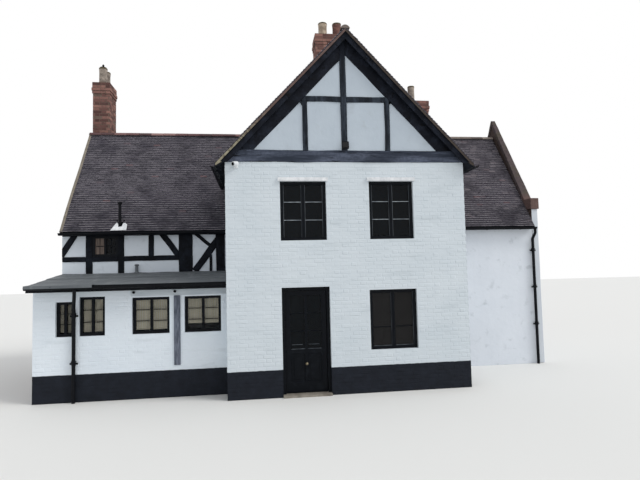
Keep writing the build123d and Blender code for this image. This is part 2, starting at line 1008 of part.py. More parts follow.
with BuildPart() as door_hinge_knuckles:
    for level in hinge_levels:
        foot = leaf_z[0] + level
        top = foot + hinge_length
        z_span = (foot + knuckle_length + hinge_clearance, top - knuckle_length - hinge_clearance)
        block((hinge_x + plate_gap, hinge_x + hinge_plate_width), plate_y, (foot, top))
        block((hinge_x, hinge_x + plate_gap), plate_y, z_span)
        barrel(hinge_barrel_radius, z_span)
        barrel(hinge_pin_radius + hinge_clearance, z_span, Mode.SUBTRACT)

# Gutters, as open half rounds under the tile edges
range_edge = roof_side(*range_roof_sizes, -1)[3]
wing_edge = roof_side(*wing_roof_sizes, 1)[3]


def trough(plane, across, height, length):
    """A half round gutter that runs square to its plane."""
    with BuildSketch(plane) as gutter_section:
        with Locations((across, height)):
            Circle(gutter_radius)
            Circle(gutter_radius - gutter_wall, mode=Mode.SUBTRACT)
        with Locations((across, height + gutter_radius / 2)):
            Rectangle(2 * gutter_radius, gutter_radius, mode=Mode.SUBTRACT)
    extrude(gutter_section.sketch, amount=length)


gutter_height = range_edge[1] - eave_edge / 2
lean_gutter_height = fascia_top - lean_to_gutter_drop
valley_foot = ridge_line - (range_peak + range_roof_rise - wing_edge[1]) / range_slope

with BuildPart() as gutters:
    for side in (-1, 1):
        across = ridge_line + side * (half_range + range_eave_overhang + gutter_radius)
        trough(Plane.YZ.offset(-left_end), across, gutter_height, left_end - half_wing)
        trough(Plane.YZ.offset(half_wing), across, gutter_height, parapet_inner - half_wing)
    trough(
        Plane.YZ.offset(-left_end),
        lean_edge - fascia_thick - gutter_radius,
        lean_gutter_height,
        left_end - half_wing,
    )
    for side in (-1, 1):
        across = side * (half_wing + wing_eave_overhang + gutter_radius)
        run = valley_foot - 2 * gutter_radius - wing_length[0]
        trough(
            Plane.XZ.offset(-(valley_foot - 2 * gutter_radius)),
            across,
            wing_edge[1] - eave_edge / 2,
            run,
        )


# Downpipes, with a swan neck back to the wall
def downpipe(x, gutter_y, top, wall_y):
    """A round pipe from a gutter's foot back to the wall and down to the ground."""
    wall_line = wall_y - downpipe_off_wall
    neck = wall_line - gutter_y
    corners = (
        (x, gutter_y, top),
        (x, gutter_y, top - neck_drop),
        (x, wall_line, top - neck_drop - neck),
        (x, wall_line, 0),
    )
    with BuildLine() as route:
        FilletPolyline(*corners, radius=neck_radius)
    with BuildSketch(Plane(origin=corners[0], x_dir=(1, 0, 0), z_dir=(0, 0, -1))) as bore:
        Circle(downpipe_radius)
    sweep(bore.sketch, path=route.wire())


with BuildPart() as downpipes:
    downpipe(
        parapet_inner - downpipe_radius,
        range_front - range_eave_overhang - gutter_radius,
        gutter_height - gutter_radius,
        range_front,
    )
    downpipe(
        -half_wing - left_downpipe_offset,
        lean_edge - fascia_thick - gutter_radius,
        lean_gutter_height - gutter_radius,
        lean_to_front,
    )

# Flue pipe with its flashing on the left slope
flue_y = range_front - range_eave_overhang + flashing_run / 2
flue_foot = range_under(flue_y) + range_roof_rise
flue_top = range_wall_height + flue_rise
roof_plane_front = flue_y - flashing_run / 2
flashing_rise = flashing_thick / cos(radians(range_pitch))

with BuildPart() as flue_pipe:
    prism_along(
        [
            (roof_plane_front, range_under(roof_plane_front) + range_roof_rise),
            (roof_plane_front, range_under(roof_plane_front) + range_roof_rise + flashing_rise),
            (
                roof_plane_front + flashing_run,
                range_under(roof_plane_front + flashing_run) + range_roof_rise + flashing_rise,
            ),
            (
                roof_plane_front + flashing_run,
                range_under(roof_plane_front + flashing_run) + range_roof_rise,
            ),
        ],
        (flue_line - flashing_width / 2, flue_line + flashing_width / 2),
    )
    with Locations((flue_line, flue_y, flue_foot - flue_radius * range_slope)):
        Cylinder(
            flue_radius,
            flue_top - flue_foot + flue_radius * range_slope,
            align=(Align.CENTER, Align.CENTER, Align.MIN),
        )
    with Locations((flue_line, flue_y, flue_top - flue_cowl_height)):
        Cylinder(flue_cowl_radius, flue_cowl_height, align=(Align.CENTER, Align.CENTER, Align.MIN))
    prism_along(range_section, (-left_end, -half_wing), Mode.SUBTRACT)

for piece, name in (
    (front_wall_left, "front_wall_left"),
    (front_wall_right, "front_wall_right"),
    (front_wall_upper, "front_wall_upper"),
    (wing_left_wall, "wing_left_wall"),
    (wing_right_wall, "wing_right_wall"),
    (wing_rear_wall, "wing_rear_wall"),
    (gable_tie_beams, "gable_tie_beams"),
    (gable_rafters, "gable_rafters"),
    (gable_king_posts, "gable_king_posts"),
    (gable_collars, "gable_collars"),
    (gable_studs, "gable_studs"),
    (gable_panels, "gable_panels"),
    (bargeboards, "bargeboards"),
    (purlin_ends, "purlin_ends"),
    (wing_roof_left, "wing_roof_left"),
    (wing_roof_right, "wing_roof_right"),
    (party_wall, "party_wall"),
    (left_low_wall, "left_low_wall"),
    (frame_plates, "frame_plates"),
    (frame_posts, "frame_posts"),
    (frame_rails, "frame_rails"),
    (frame_braces, "frame_braces"),
    (frame_panels, "frame_panels"),
    (left_rear_wall, "left_rear_wall"),
    (lean_to_wall, "lean_to_wall"),
    (lean_to_roof, "lean_to_roof"),
    (lean_to_fascia, "lean_to_fascia"),
    (left_roof_front, "left_roof_front"),
    (left_roof_rear, "left_roof_rear"),
    (right_roof_front, "right_roof_front"),
    (right_roof_rear, "right_roof_rear"),
    (right_front_wall, "right_front_wall"),
    (right_rear_wall, "right_rear_wall"),
    (parapet_gable, "parapet_gable"),
    (parapet_coping, "parapet_coping"),
    (ridge_tiles, "ridge_tiles"),
    (chimney_stacks, "chimney_stacks"),
    (chimney_pots, "chimney_pots"),
    (ground_floors, "ground_floors"),
    (upper_floors, "upper_floors"),
    (wing_window_frames, "wing_window_frames"),
    (side_window_frames, "side_window_frames"),
    (window_glass, "window_glass"),
    (window_drips, "window_drips"),
    (door_sill, "door_sill"),
    (door_frame, "door_frame"),
    (front_door, "front_door"),
    (door_glass, "door_glass"),
    (door_knob, "door_knob"),
    (door_hinge_pins, "door_hinge_pins"),
    (door_hinge_knuckles, "door_hinge_knuckles"),
    (gutters, "gutters"),
    (downpipes, "downpipes"),
    (flue_pipe, "flue_pipe"),
):
    keep(piece, name)
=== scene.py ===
from math import cos, pi, radians, sin, tan

import bmesh
import bpy
import numpy as np
from mathutils import Matrix, Vector, noise


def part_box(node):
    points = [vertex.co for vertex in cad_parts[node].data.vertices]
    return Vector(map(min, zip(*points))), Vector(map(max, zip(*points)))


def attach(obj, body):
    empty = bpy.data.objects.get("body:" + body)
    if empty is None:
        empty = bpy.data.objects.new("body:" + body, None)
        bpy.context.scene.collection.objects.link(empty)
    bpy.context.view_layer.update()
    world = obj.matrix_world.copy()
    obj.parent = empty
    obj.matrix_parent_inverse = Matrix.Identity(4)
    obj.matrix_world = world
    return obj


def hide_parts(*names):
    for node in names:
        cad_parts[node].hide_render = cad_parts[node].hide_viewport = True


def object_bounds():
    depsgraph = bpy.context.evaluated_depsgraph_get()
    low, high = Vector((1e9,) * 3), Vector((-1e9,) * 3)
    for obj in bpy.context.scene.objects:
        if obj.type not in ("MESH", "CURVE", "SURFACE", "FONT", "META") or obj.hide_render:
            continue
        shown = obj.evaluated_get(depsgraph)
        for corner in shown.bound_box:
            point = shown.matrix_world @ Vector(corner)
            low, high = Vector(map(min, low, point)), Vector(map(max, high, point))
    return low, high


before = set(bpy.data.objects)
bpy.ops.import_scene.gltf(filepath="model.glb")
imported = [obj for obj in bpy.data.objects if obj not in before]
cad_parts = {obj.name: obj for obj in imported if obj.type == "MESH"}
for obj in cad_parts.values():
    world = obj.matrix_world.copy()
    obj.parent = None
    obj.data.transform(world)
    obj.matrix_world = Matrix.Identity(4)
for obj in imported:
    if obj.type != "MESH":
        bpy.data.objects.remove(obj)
cad_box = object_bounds()

# Without a seed, noise_vector takes its offsets from the clock
NOISE_SEED = 1
noise.seed_set(NOISE_SEED)

# Sizes in metres. X runs right along the front, Y back into the house, Z up
WING_PITCH = radians(46.7)
RANGE_PITCH = radians(54.2)
LEAN_PITCH = radians(7.25)
EAVE_EDGE = 0.045
PLINTH_TOP = 0.526

BRICK = 0.215
HALF_BRICK = 0.1025
COURSE = 0.075
JOINT = 0.010
BRICK_EASE = 0.008
BRICK_SUNK = 0.003
LEAST_BRICK = 0.03
LEAST_COURSE = 0.02

CAP_OUT = 0.028
CAP_COURSE = 0.075
CAP_STEPS = (0.014, 0.028, 0.014, 0.014)
STACK_FEET = (5.0, 6.0, 5.4)

TILE_WIDTH = 0.165
TILE_GAUGE = 0.068
TILE_LAP = 0.030
TILE_THICK = 0.012
TILE_GAP = 0.0015
TILE_CAMBER = 0.003
TILE_SWAY = 0.012
TAIL_LIFT = 0.019
HEAD_LIFT = 0.004
LEAST_TILE = 0.03

RIDGE_RADIUS = 0.115
RIDGE_THICK = 0.016
RIDGE_TILE = 0.305
WING_RIDGE_SINK = 0.020
RANGE_RIDGE_SINK = 0.060

STILE = 0.014
BAR = 0.016
THIN_BAR = 0.011
SLATS = 7
CURTAIN_END = -5.1
SHORT_BLINDS_START = -3.6
VALLEY_GAP = 0.02

# Lines taken from the frame
wall_low, wall_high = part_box("front_wall_upper")
wing_face = wall_low.y
half_wing = wall_high.x
wing_wall_top = wall_high.z
wing_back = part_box("wing_rear_wall")[1].y
roof_low, roof_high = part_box("wing_roof_right")
wing_eave = roof_high.x
wing_ridge = roof_high.z
wing_eave_top = roof_low.z + EAVE_EDGE
verge_front, verge_back = roof_low.y, roof_high.y
range_low, range_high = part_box("left_roof_front")
left_end = range_low.x
range_eave_line = range_low.y
range_ridge_line = range_high.y
range_ridge = range_high.z
range_eave_top = range_low.z + EAVE_EDGE
range_rear_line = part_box("left_roof_rear")[1].y
range_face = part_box("right_front_wall")[0].y
range_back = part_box("left_rear_wall")[1].y
parapet_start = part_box("parapet_coping")[0].x
lean_end, lean_face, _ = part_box("lean_to_wall")[0]

RIGHT = Vector((1, 0, 0))
BACK = Vector((0, 1, 0))
UP = Vector((0, 0, 1))

# Colours and materials. Colours are screen colours from 0 to 255
looks = {}


def srgb(red, green, blue):
    """A screen colour as a linear colour."""
    shares = (red / 255, green / 255, blue / 255)
    return (*[s / 12.92 if s <= 0.04045 else ((s + 0.055) / 1.055) ** 2.4 for s in shares], 1.0)


class Tree:
    """A tree of shader nodes, with short ways to add them."""

    def __init__(self, tree):
        self.nodes, self.links = tree.nodes, tree.links

    def feed(self, socket, value):
        """Set a socket, or link another node's output to it."""
        if isinstance(value, bpy.types.NodeSocket):
            self.links.new(value, socket)
        else:
            socket.default_value = srgb(*value) if isinstance(value, tuple) else value

    def node(self, kind, sockets):
        """A new node with its sockets fed."""
        made = self.nodes.new(kind)
        for name, value in sockets.items():
            self.feed(made.inputs[name], value)
        return made

    def math(self, operation, first, second=0.0):
        """A sum, product or comparison of two values."""
        made = self.node("ShaderNodeMath", {0: first, 1: second})
        made.operation = operation
        return made.outputs[0]


class Surface(Tree):
    """A procedural material, kept in looks under its name."""

    def __init__(self, name, rough, shine, metal=0.0, alpha=1.0):
        material = looks[name] = bpy.data.materials.new(name)
        material.use_nodes = True
        super().__init__(material.node_tree)
        self.shader = self.nodes["Principled BSDF"].inputs
        constants = {"Roughness": rough, "Specular IOR Level": shine, "Metallic": metal, "Alpha": alpha}
        for socket, value in constants.items():
            self.shader[socket].default_value = value
        self.place = self.nodes.new("ShaderNodeTexCoord").outputs["Object"]

    def noise(self, scale, detail, stretch=(1, 1, 1), rough=0.55):
        """Cloudy noise from 0 to 1."""
        mapping = self.node("ShaderNodeMapping", {"Vector": self.place, "Scale": Vector(stretch)})
        sockets = {"Vector": mapping.outputs[0], "Scale": scale, "Detail": detail, "Roughness": rough}
        return self.node("ShaderNodeTexNoise", sockets).outputs["Fac"]

    def carried(self, name):
        """A value that the piece's own points carry."""
        attribute = self.nodes.new("ShaderNodeAttribute")
        attribute.attribute_name = name
        return attribute.outputs["Fac"]

    def axis(self, name, source=None):
        """One of the object's own coordinates, or a part of another vector."""
        return self.node("ShaderNodeSeparateXYZ", {0: source or self.place}).outputs[name]

    def facing(self, name):
        """One part of the direction that the surface faces."""
        return self.axis(name, self.nodes.new("ShaderNodeNewGeometry").outputs["True Normal"])

    def fade(self, value, start, end):
        """Rises from 0 at start to 1 at end."""
        spread = self.node("ShaderNodeMapRange", {"Value": value, "From Min": start, "From Max": end})
        spread.interpolation_type = "SMOOTHSTEP"
        return spread.outputs["Result"]

    def spots(self, scale, detail, start, end, *grain):
        """Patches of noise that rises above start."""
        return self.fade(self.noise(scale, detail, *grain), start, end)

    def ramp(self, value, *stops):
        """A colour from a row of (position, colour) stops."""
        blend = self.node("ShaderNodeValToRGB", {"Fac": value})
        elements = blend.color_ramp.elements
        while len(elements) < len(stops):
            elements.new(1.0)
        for element, (position, shade) in zip(elements, stops):
            element.position = position
            element.color = srgb(*shade)
        return blend.outputs["Color"]

    def mix(self, share, first, second):
        """The first colour where share is 0, the second where it is 1."""
        blend = self.nodes.new("ShaderNodeMix")
        blend.data_type = "RGBA"
        for socket, value in ((0, share), (6, first), (7, second)):
            self.feed(blend.inputs[socket], value)
        return blend.outputs[2]

    def over(self, shade, stain, strength, spread):
        """The shade with a stain over it where spread is 1."""
        return self.mix(self.math("MULTIPLY", spread, strength), shade, stain)

    def stain(self, shade, stain, strength, *spots):
        """The shade with a stain over it in spots."""
        return self.over(shade, stain, strength, self.spots(*spots))

    def rough(self, value, smooth, coarse):
        """Let the roughness run between two values."""
        spread = self.node("ShaderNodeMapRange", {"Value": value, "To Min": smooth, "To Max": coarse})
        self.feed(self.shader["Roughness"], spread.outputs["Result"])

    def coat(self, shade, *relief):
        """Use this colour, with bump in layers of a height, or of noise, and a depth in metres."""
        self.feed(self.shader["Base Color"], shade)
        below = {}
        for *grain, depth in relief:
            height = self.noise(*grain) if len(grain) > 1 else grain[0]
            bump = self.node("ShaderNodeBump", {"Distance": depth, "Height": height, **below})
            below = {"Normal": bump.outputs["Normal"]}
            self.feed(self.shader["Normal"], below["Normal"])


def painted_brick(name, dark, light):
    """White masonry paint over brickwork, with a black painted foot."""
    skin = Surface(name, 0.75, 0.2)
    white = skin.mix(skin.noise(1.3, 4), dark, light)
    white = skin.stain(white, (176, 186, 192), 0.35, 3.2, 5, 0.54, 0.76, (0.4, 0.4, 1.7))
    white = skin.stain(white, (160, 166, 168), 0.25, 55, 2, 0.68, 0.76)
    black = skin.mix(skin.noise(6, 4), (12, 15, 22), (34, 39, 49))
    level = skin.math("ADD", skin.axis("Z"), skin.math("MULTIPLY", skin.noise(14, 3), 0.016))
    foot = skin.fade(level, PLINTH_TOP + 0.002, PLINTH_TOP + 0.010)
    skin.coat(skin.mix(foot, black, white), (9, 4, (0.35, 0.35, 1.6), 0.007), (140, 2, 0.0010))


def limewash(name, dark, light):
    """Limewashed plaster with faint blotches."""
    skin = Surface(name, 0.85, 0.2)
    shade = skin.stain(skin.mix(skin.noise(1.8, 5), dark, light), (170, 178, 184), 0.45, 4.5, 5, 0.58, 0.76)
    skin.coat(shade, (7, 4, 0.006), (90, 2, 0.0012))


def timber(name, dark, wear_and_highlight, grain, painted_shade_above=None):
    """Blackened oak with weathered streaks along its grain, and painted shade above a given height."""
    skin = Surface(name, 0.75, 0.12)
    streaks = skin.noise(9, 6, grain, 0.65)
    checks = skin.spots(16, 5, 0.60, 0.66, grain, 0.6)
    shade = skin.mix(skin.fade(streaks, 0.38, 0.72), dark, wear_and_highlight)
    shade = skin.stain(shade, dark, 0.35, 22, 5, 0.40, 0.66)
    shade = skin.over(shade, (8, 9, 13), 0.8, checks)
    shade = skin.stain(shade, (112, 118, 128), 0.3, 60, 2, 0.68, 0.76)
    # Painted shade: above this height the timber turns as dark as the rafters, for the shade under the verge
    # at the apex.
    if painted_shade_above:
        head = skin.fade(skin.axis("Z"), painted_shade_above, painted_shade_above + 0.12)
        shade = skin.mix(head, shade, skin.mix(streaks, (13, 16, 24), (30, 35, 45)))
    skin.coat(shade, (streaks, 0.010), (checks, 0.004))
    skin.rough(streaks, 0.55, 0.85)


def old_tile(name, warm):
    """Old clay tiles, weathered dark, with a painted highlight along their tails."""
    skin = Surface(name, 0.88, 0.12)
    dark = (44, 43, 50)
    shade = skin.ramp(
        skin.carried("tone"),
        (0.0, (62, 60, 67)), (0.30, (71, 69, 76)), (0.70, (79, 76, 84)), (0.88, (84, 81, 88)),
        (0.975, (120, 114, 118) if warm else (90, 87, 94)), (0.992, (92, 80, 86)), (1.0, (102, 76, 78)),
    )
    shade = skin.mix(warm, shade, (70, 56, 56))
    shade = skin.stain(shade, (52, 49, 60), 0.3, 0.8, 4, 0.42, 0.68)
    upper = skin.fade(skin.axis("Z"), 3.5, 4.5)
    shade = skin.mix(upper, skin.mix(0.55, shade, dark), skin.mix(0.12, shade, dark))
    shade = skin.stain(shade, (118, 114, 120), 0.08 + warm * 2, 7, 4, 0.60, 0.68, (0.6, 1, 1.3))
    shade = skin.stain(shade, (122, 118, 118), 0.35, 30, 4, 0.64, 0.76)
    # Painted highlight: the tails, where the courses catch the light, are pale in patches.
    patchy = skin.math("MULTIPLY", skin.spots(2.6, 5, 0.26, 0.62), skin.spots(19, 3, 0.22, 0.52))
    tail = skin.math("MULTIPLY", skin.fade(skin.carried("wear_and_highlight"), 0.86, 0.97), patchy)
    skin.coat(skin.over(shade, (164, 159, 165), 0.9, tail), (45, 4, 0.003), (160, 2, 0.001))


def fired_clay(name, dark, mid, light, soot):
    """Red clay, as bricks or ridge tiles, with soot in patches."""
    skin = Surface(name, 0.88, 0.15)
    shade = skin.ramp(skin.carried("tone"), (0.0, dark), (0.5, mid), (1.0, light))
    shade = skin.stain(shade, (66, 58, 56), soot, 5, 5, 0.45, 0.75)
    skin.coat(skin.stain(shade, (160, 146, 134), 0.35, 70, 2, 0.64, 0.72), (60, 4, 0.003))


def parapet_face():
    """White render, and dark brick on the face over the roof, darkened as painted shade since that face lies
    in shadow.
    """
    skin = Surface("parapet", 0.88, 0.12)
    white = skin.mix(skin.noise(1.8, 5), (196, 203, 211), (214, 219, 225))
    brick = skin.mix(skin.noise(12, 5), (48, 42, 42), (92, 78, 72))
    # Painted shade: the face turned to the roof is dark, as it lies in shadow.
    skin.coat(skin.mix(skin.math("LESS_THAN", skin.facing("X"), -0.5), white, brick), (7, 4, 0.006))


def coping():
    """Weathered brick on edge, grey brown low down and mossy higher up."""
    skin = Surface("coping", 0.9, 0.1)
    grain = skin.noise(14, 5)
    mossy = skin.mix(grain, (52, 47, 49), (102, 91, 91))
    mossy = skin.stain(mossy, (82, 78, 64), 0.5, 3.5, 4, 0.45, 0.65)
    kneeler = skin.mix(grain, (74, 60, 59), (124, 102, 96))
    skin.coat(skin.mix(skin.fade(skin.axis("Z"), 4.06, 4.30), kneeler, mossy), (30, 4, 0.006))


def mortar(name, dark, light):
    """Lime mortar with moss and lichen in its hollows."""
    skin = Surface(name, 0.92, 0.1)
    shade = skin.mix(skin.noise(9, 5), dark, light)
    skin.coat(skin.stain(shade, (104, 100, 82), 0.5, 5, 4, 0.55, 0.7), (60, 4, 0.005))


def roof_edge(name, verge):
    """The roof under its tiles: black boards, dark also as painted shade under the tiles, and a weathered
    verge on the wing.
    """
    skin = Surface(name, 0.9, 0.1)
    # Black boards, which also stand for the shade under the tiles at eaves and soffits: painted shade.
    shade = skin.mix(skin.noise(6, 4), (12, 14, 20), (34, 37, 44))
    if verge:
        grain = skin.noise(16, 5)
        pale = skin.mix(grain, (104, 98, 82), (178, 172, 150))
        pale = skin.mix(skin.spots(9, 4, 0.5, 0.62), pale, (86, 80, 70))
        brown = skin.mix(grain, (74, 60, 58), (124, 104, 98))
        left = skin.mix(skin.fade(skin.axis("Z"), 4.75, 5.7), pale, brown)
        right = skin.mix(grain, (44, 38, 38), (92, 84, 76))
        sides = skin.mix(skin.math("GREATER_THAN", skin.axis("X"), 0.0), left, right)
        ends = skin.math("GREATER_THAN", skin.math("ABSOLUTE", skin.facing("Y")), 0.7)
        shade = skin.mix(ends, shade, sides)
    skin.coat(shade, (50, 4, 0.004))


def black_paint():
    """Black painted joinery with dust, and cast iron with a trace of rust."""
    wood = Surface("black_frame", 0.45, 0.10)
    dust = wood.spots(9, 5, 0.5, 0.8)
    wood.coat(wood.over((9, 13, 19), (36, 40, 46), 0.4, dust), (40, 3, 0.0015))
    wood.rough(dust, 0.35, 0.65)
    iron = Surface("black_iron", 0.5, 0.12)
    iron.coat(iron.stain((12, 14, 19), (62, 46, 40), 0.4, 11, 6, 0.66, 0.8), (70, 3, 0.001))


def sheet_lead():
    """Dull grey sheet lead with pale runs and laps."""
    skin = Surface("lead_roof", 0.65, 0.15)
    patches = skin.noise(2.2, 5)
    shade = skin.mix(patches, (84, 88, 93), (116, 121, 124))
    shade = skin.stain(shade, (70, 74, 80), 0.45, 3.0, 5, 0.48, 0.7, (0.25, 3.0, 1.0))
    shade = skin.stain(shade, (146, 150, 150), 0.4, 7, 4, 0.55, 0.78, (1, 0.15, 0.5))
    skin.coat(shade, (patches, 0.006), (35, 3, 0.002))
    skin.rough(patches, 0.5, 0.8)


def glass(name, shine, alpha, dark, light):
    """Old window glass whose dark colour is painted shade of the room behind it, with a little sky in its
    gloss.
    """
    skin = Surface(name, 0.04, shine, alpha=alpha)
    skin.coat(skin.mix(skin.noise(3, 2), dark, light))


def plain(name, dark, light, scale, depth, stretch=(1, 1, 1), rough=0.7, shine=0.3, metal=0.0):
    """A simple weathered finish between two colours."""
    skin = Surface(name, rough, shine, metal)
    spread = skin.noise(scale, 5, stretch)
    skin.coat(skin.mix(skin.fade(spread, 0.3, 0.7), dark, light), (spread, depth))


painted_brick("painted_brick", (197, 207, 214), (216, 223, 228))
# A lighter copy of the painted brick for the lean-to: painted light against the shade under its eave.
painted_brick("lit_painted_brick", (216, 226, 235), (233, 240, 246))
limewash("plaster", (174, 185, 196), (193, 203, 212))
limewash("frame_plaster", (208, 216, 225), (226, 233, 240))
# The render is made lighter as painted light, against the shade that the wing casts on the range's front
# wall.
limewash("render", (214, 220, 228), (226, 231, 238))
timber("timber_across", (44, 50, 62), (96, 103, 120), (0.12, 1, 1))
# The uprights have painted shade above 6.56 m, under the apex.
timber("timber_upright", (22, 27, 34), (60, 68, 79), (1, 1, 0.12), 6.56)
timber("timber_frame", (8, 11, 17), (30, 35, 44), (0.5, 1, 0.5))
timber("timber_rafter", (13, 16, 24), (36, 41, 52), (0.5, 1, 0.5))
old_tile("clay_tile", 0.0)
old_tile("warm_tile", 0.12)
fired_clay("ridge_clay", (82, 64, 66), (112, 84, 84), (156, 126, 122), 0.45)
fired_clay("verge_clay", (88, 80, 76), (118, 108, 102), (146, 136, 128), 0.35)
fired_clay("stack_brick", (82, 59, 56), (122, 88, 82), (150, 112, 102), 0.55)
parapet_face()
coping()
mortar("stack_mortar", (86, 72, 66), (126, 108, 98))
mortar("bedding", (92, 86, 80), (158, 150, 136))
roof_edge("verge_edge", True)
roof_edge("eave_edge", False)
black_paint()
sheet_lead()
# Dark, mostly opaque panes: painted shade of the unlit rooms behind them.
glass("pane", 0.12, 0.86, (5, 9, 13), (11, 16, 21))
glass("room_pane", 0.14, 0.82, (26, 26, 27), (38, 37, 37))
glass("clear_pane", 0.25, 0.16, (16, 20, 22), (30, 34, 36))
for name, *values in (
    ("white_board", (186, 196, 204), (208, 216, 222), 6, 0.002, (0.3, 1, 1)),
    ("stone", (112, 106, 98), (150, 144, 134), 5, 0.004),
    ("boards", (88, 64, 44), (126, 96, 68), 8, 0.002, (1, 0.08, 1)),
    ("brass", (112, 104, 86), (150, 140, 116), 30, 0.0005, (1, 1, 1), 0.45, 0.3, 0.6),
    ("buff_clay", (140, 124, 108), (196, 180, 160), 7, 0.003),
    ("red_clay", (84, 58, 54), (132, 90, 80), 7, 0.003),
    ("grey_clay", (112, 103, 96), (168, 156, 144), 9, 0.003),
    ("moss", (58, 50, 38), (104, 92, 66), 18, 0.006),
    ("bar_paint", (112, 120, 128), (176, 184, 190), 14, 0.001),
    ("curtain", (84, 76, 72), (130, 114, 104), 12, 0.002, (6, 1, 0.3)),
    ("dull_line", (46, 52, 58), (92, 98, 104), 9, 0.001, (1, 1, 0.3)),
    ("blind_cloth", (206, 200, 178), (232, 226, 206), 12, 0.002, (8, 1, 0.2)),
    ("white_metal", (206, 210, 214), (236, 238, 240), 12, 0.003, (1, 1, 1), 0.5, 0.2),
    ("lens_black", (6, 7, 10), (14, 16, 20), 30, 0.0003, (1, 1, 1), 0.2),
    ("grey_board", (70, 76, 88), (118, 124, 138), 9, 0.002, (3, 1, 0.5)),
):
    plain(name, *values)


# Meshes
class Shape:
    """Gathers closed lumps that become one piece."""

    def __init__(self):
        self.points, self.faces, self.tones, self.wear_and_highlight = [], [], [], []

    def add(self, points, faces, tone=0.5, wear_and_highlight=None):
        """Add one closed lump, with or without wear and painted highlight at each point."""
        start = len(self.points)
        self.points.extend(points)
        self.faces.extend(tuple(start + index for index in face) for face in faces)
        self.tones.extend([tone] * len(points))
        self.wear_and_highlight.extend(wear_and_highlight or [0.0] * len(points))

    def prism(self, outline, shift, tone=0.5):
        """Add a flat outline, drawn out along a vector."""
        count = len(outline)
        sides = [(i, (i + 1) % count, count + (i + 1) % count, count + i) for i in range(count)]
        ends = [tuple(range(count)), tuple(range(2 * count - 1, count - 1, -1))]
        self.add([*outline, *[point + shift for point in outline]], [*sides, *ends], tone)

    def block(self, low, high):
        """Add a block between two corners."""
        (left, near, foot), (right, far, head) = low, high
        corners = ((left, near), (right, near), (right, far), (left, far))
        self.prism([Vector((x, y, foot)) for x, y in corners], UP * (head - foot))

    def block_at(self, spot, low, high):
        """Add a block whose corners are measured from a spot."""
        self.block(*([start + away for start, away in zip(spot, corner)] for corner in (low, high)))

    def ring(self, rect, depth, width):
        """Add a frame of two uprights and two rails."""
        left, right, foot, head = rect
        near, far = depth
        for start, end, low, high in (
            (left, left + width, foot, head),
            (right - width, right, foot, head),
            (left + width, right - width, foot, foot + width),
            (left + width, right - width, head - width, head),
        ):
            self.block((start, near, low), (end, far, high))

    def brick(self, wall, rect, rise, tone):
        """Add a brick's eased face on a wall."""
        left, right, low, high = rect
        corners = ((left, low, 1, 1), (right, low, -1, 1), (right, high, -1, -1), (left, high, 1, -1))
        points = [wall.at(u, v, out) for out in (-BRICK_SUNK, rise * 0.4) for u, v, _, _ in corners]
        points += [wall.at(u + BRICK_EASE * a, v + BRICK_EASE * b, rise) for u, v, a, b in corners]
        rings = [(a + i, a + (i + 1) % 4, a + 4 + (i + 1) % 4, a + 4 + i) for a in (0, 4) for i in range(4)]
        self.add(points, [*rings, (0, 1, 2, 3), (8, 9, 10, 11)], tone)

    def lathe(self, centre, profile, sides, bulge=None):
        """Add a turned lump from a closed row of (radius, height) points."""
        across = UP.orthogonal().normalized()
        aside = UP.cross(across).normalized()
        count = len(profile)
        points, faces = [], []
        for step in range(sides):
            angle = 2 * pi * step / sides
            swell = bulge(angle) if bulge else 1.0
            ray = across * cos(angle) + aside * sin(angle)
            points += [centre + ray * radius * swell + UP * height for radius, height in profile]
            a, b = step * count, (step + 1) % sides * count
            faces += [(a + i, b + i, b + (i + 1) % count, a + (i + 1) % count) for i in range(count)]
        self.add(points, faces)

    def rod(self, start, end, radius, sides):
        """Add a round bar between two points."""
        axis = (end - start).normalized()
        across = axis.orthogonal().normalized()
        aside = axis.cross(across)
        turns = [2 * pi * step / sides for step in range(sides)]
        outline = [start + (across * cos(turn) + aside * sin(turn)) * radius for turn in turns]
        self.prism(outline, end - start)


class Wall:
    """A flat face with its own directions: along, up and out."""

    def __init__(self, origin, along, up, out):
        self.origin = Vector(origin)
        self.along, self.up, self.out = (Vector(way).normalized() for way in (along, up, out))

    def at(self, u, v, out=0.0):
        """The point at a place on the face, and a height above it."""
        return self.origin + self.along * u + self.up * v + self.out * out


def settle(work, wander, grain=1.0):
    """Move a mesh's points by smooth noise, inside the CAD box."""
    low, high = cad_box
    for vert in work.verts:
        moved = vert.co + noise.noise_vector(vert.co * grain) * wander
        vert.co = Vector(min(max(moved[i], low[i]), high[i]) for i in range(3))


def bevel(work, ease, angle):
    """Ease a mesh's edges that are sharper than an angle."""
    sharp = [edge for edge in work.edges if edge.calc_face_angle(0) > radians(angle)]
    bmesh.ops.bevel(work, geom=sharp, offset=ease, segments=1, affect="EDGES", clamp_overlap=True)


def piece(name, shape, look, body="house", replaces=(), ease=0.0, smooth=False, wander=0.0):
    """Turn a shape into a piece, finished in its look."""
    mesh = bpy.data.meshes.new(name)
    mesh.from_pydata([tuple(point) for point in shape.points], [], shape.faces)
    for title, values in (("tone", shape.tones), ("wear_and_highlight", shape.wear_and_highlight)):
        if title == "tone" or any(values):
            mesh.attributes.new(title, "FLOAT", "POINT").data.foreach_set("value", values)
    work = bmesh.new()
    work.from_mesh(mesh)
    bmesh.ops.recalc_face_normals(work, faces=work.faces)
    if ease:
        bevel(work, ease, 40)
    if wander:
        settle(work, wander)
    put(name, work, mesh, look, body, replaces, smooth)


def put(name, work, mesh, look, body, replaces, smooth):
    """Write an edited mesh back and set the piece in its place."""
    work.to_mesh(mesh)
    work.free()
    mesh.materials.append(looks[look])
    if smooth:
        mesh.polygons.foreach_set("use_smooth", [True] * len(mesh.polygons))
        mesh.set_sharp_from_angle(angle=radians(35))
    made = bpy.data.objects.new(name, mesh)
    bpy.context.scene.collection.objects.link(made)
    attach(made, body)
    if replaces:
        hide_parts(*replaces)


def welded(node):
    """A CAD node's mesh, with the points that coincide made one."""
    work = bmesh.new()
    work.from_mesh(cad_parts[node].data)
    bmesh.ops.remove_doubles(work, verts=work.verts, dist=1e-5)
    return work


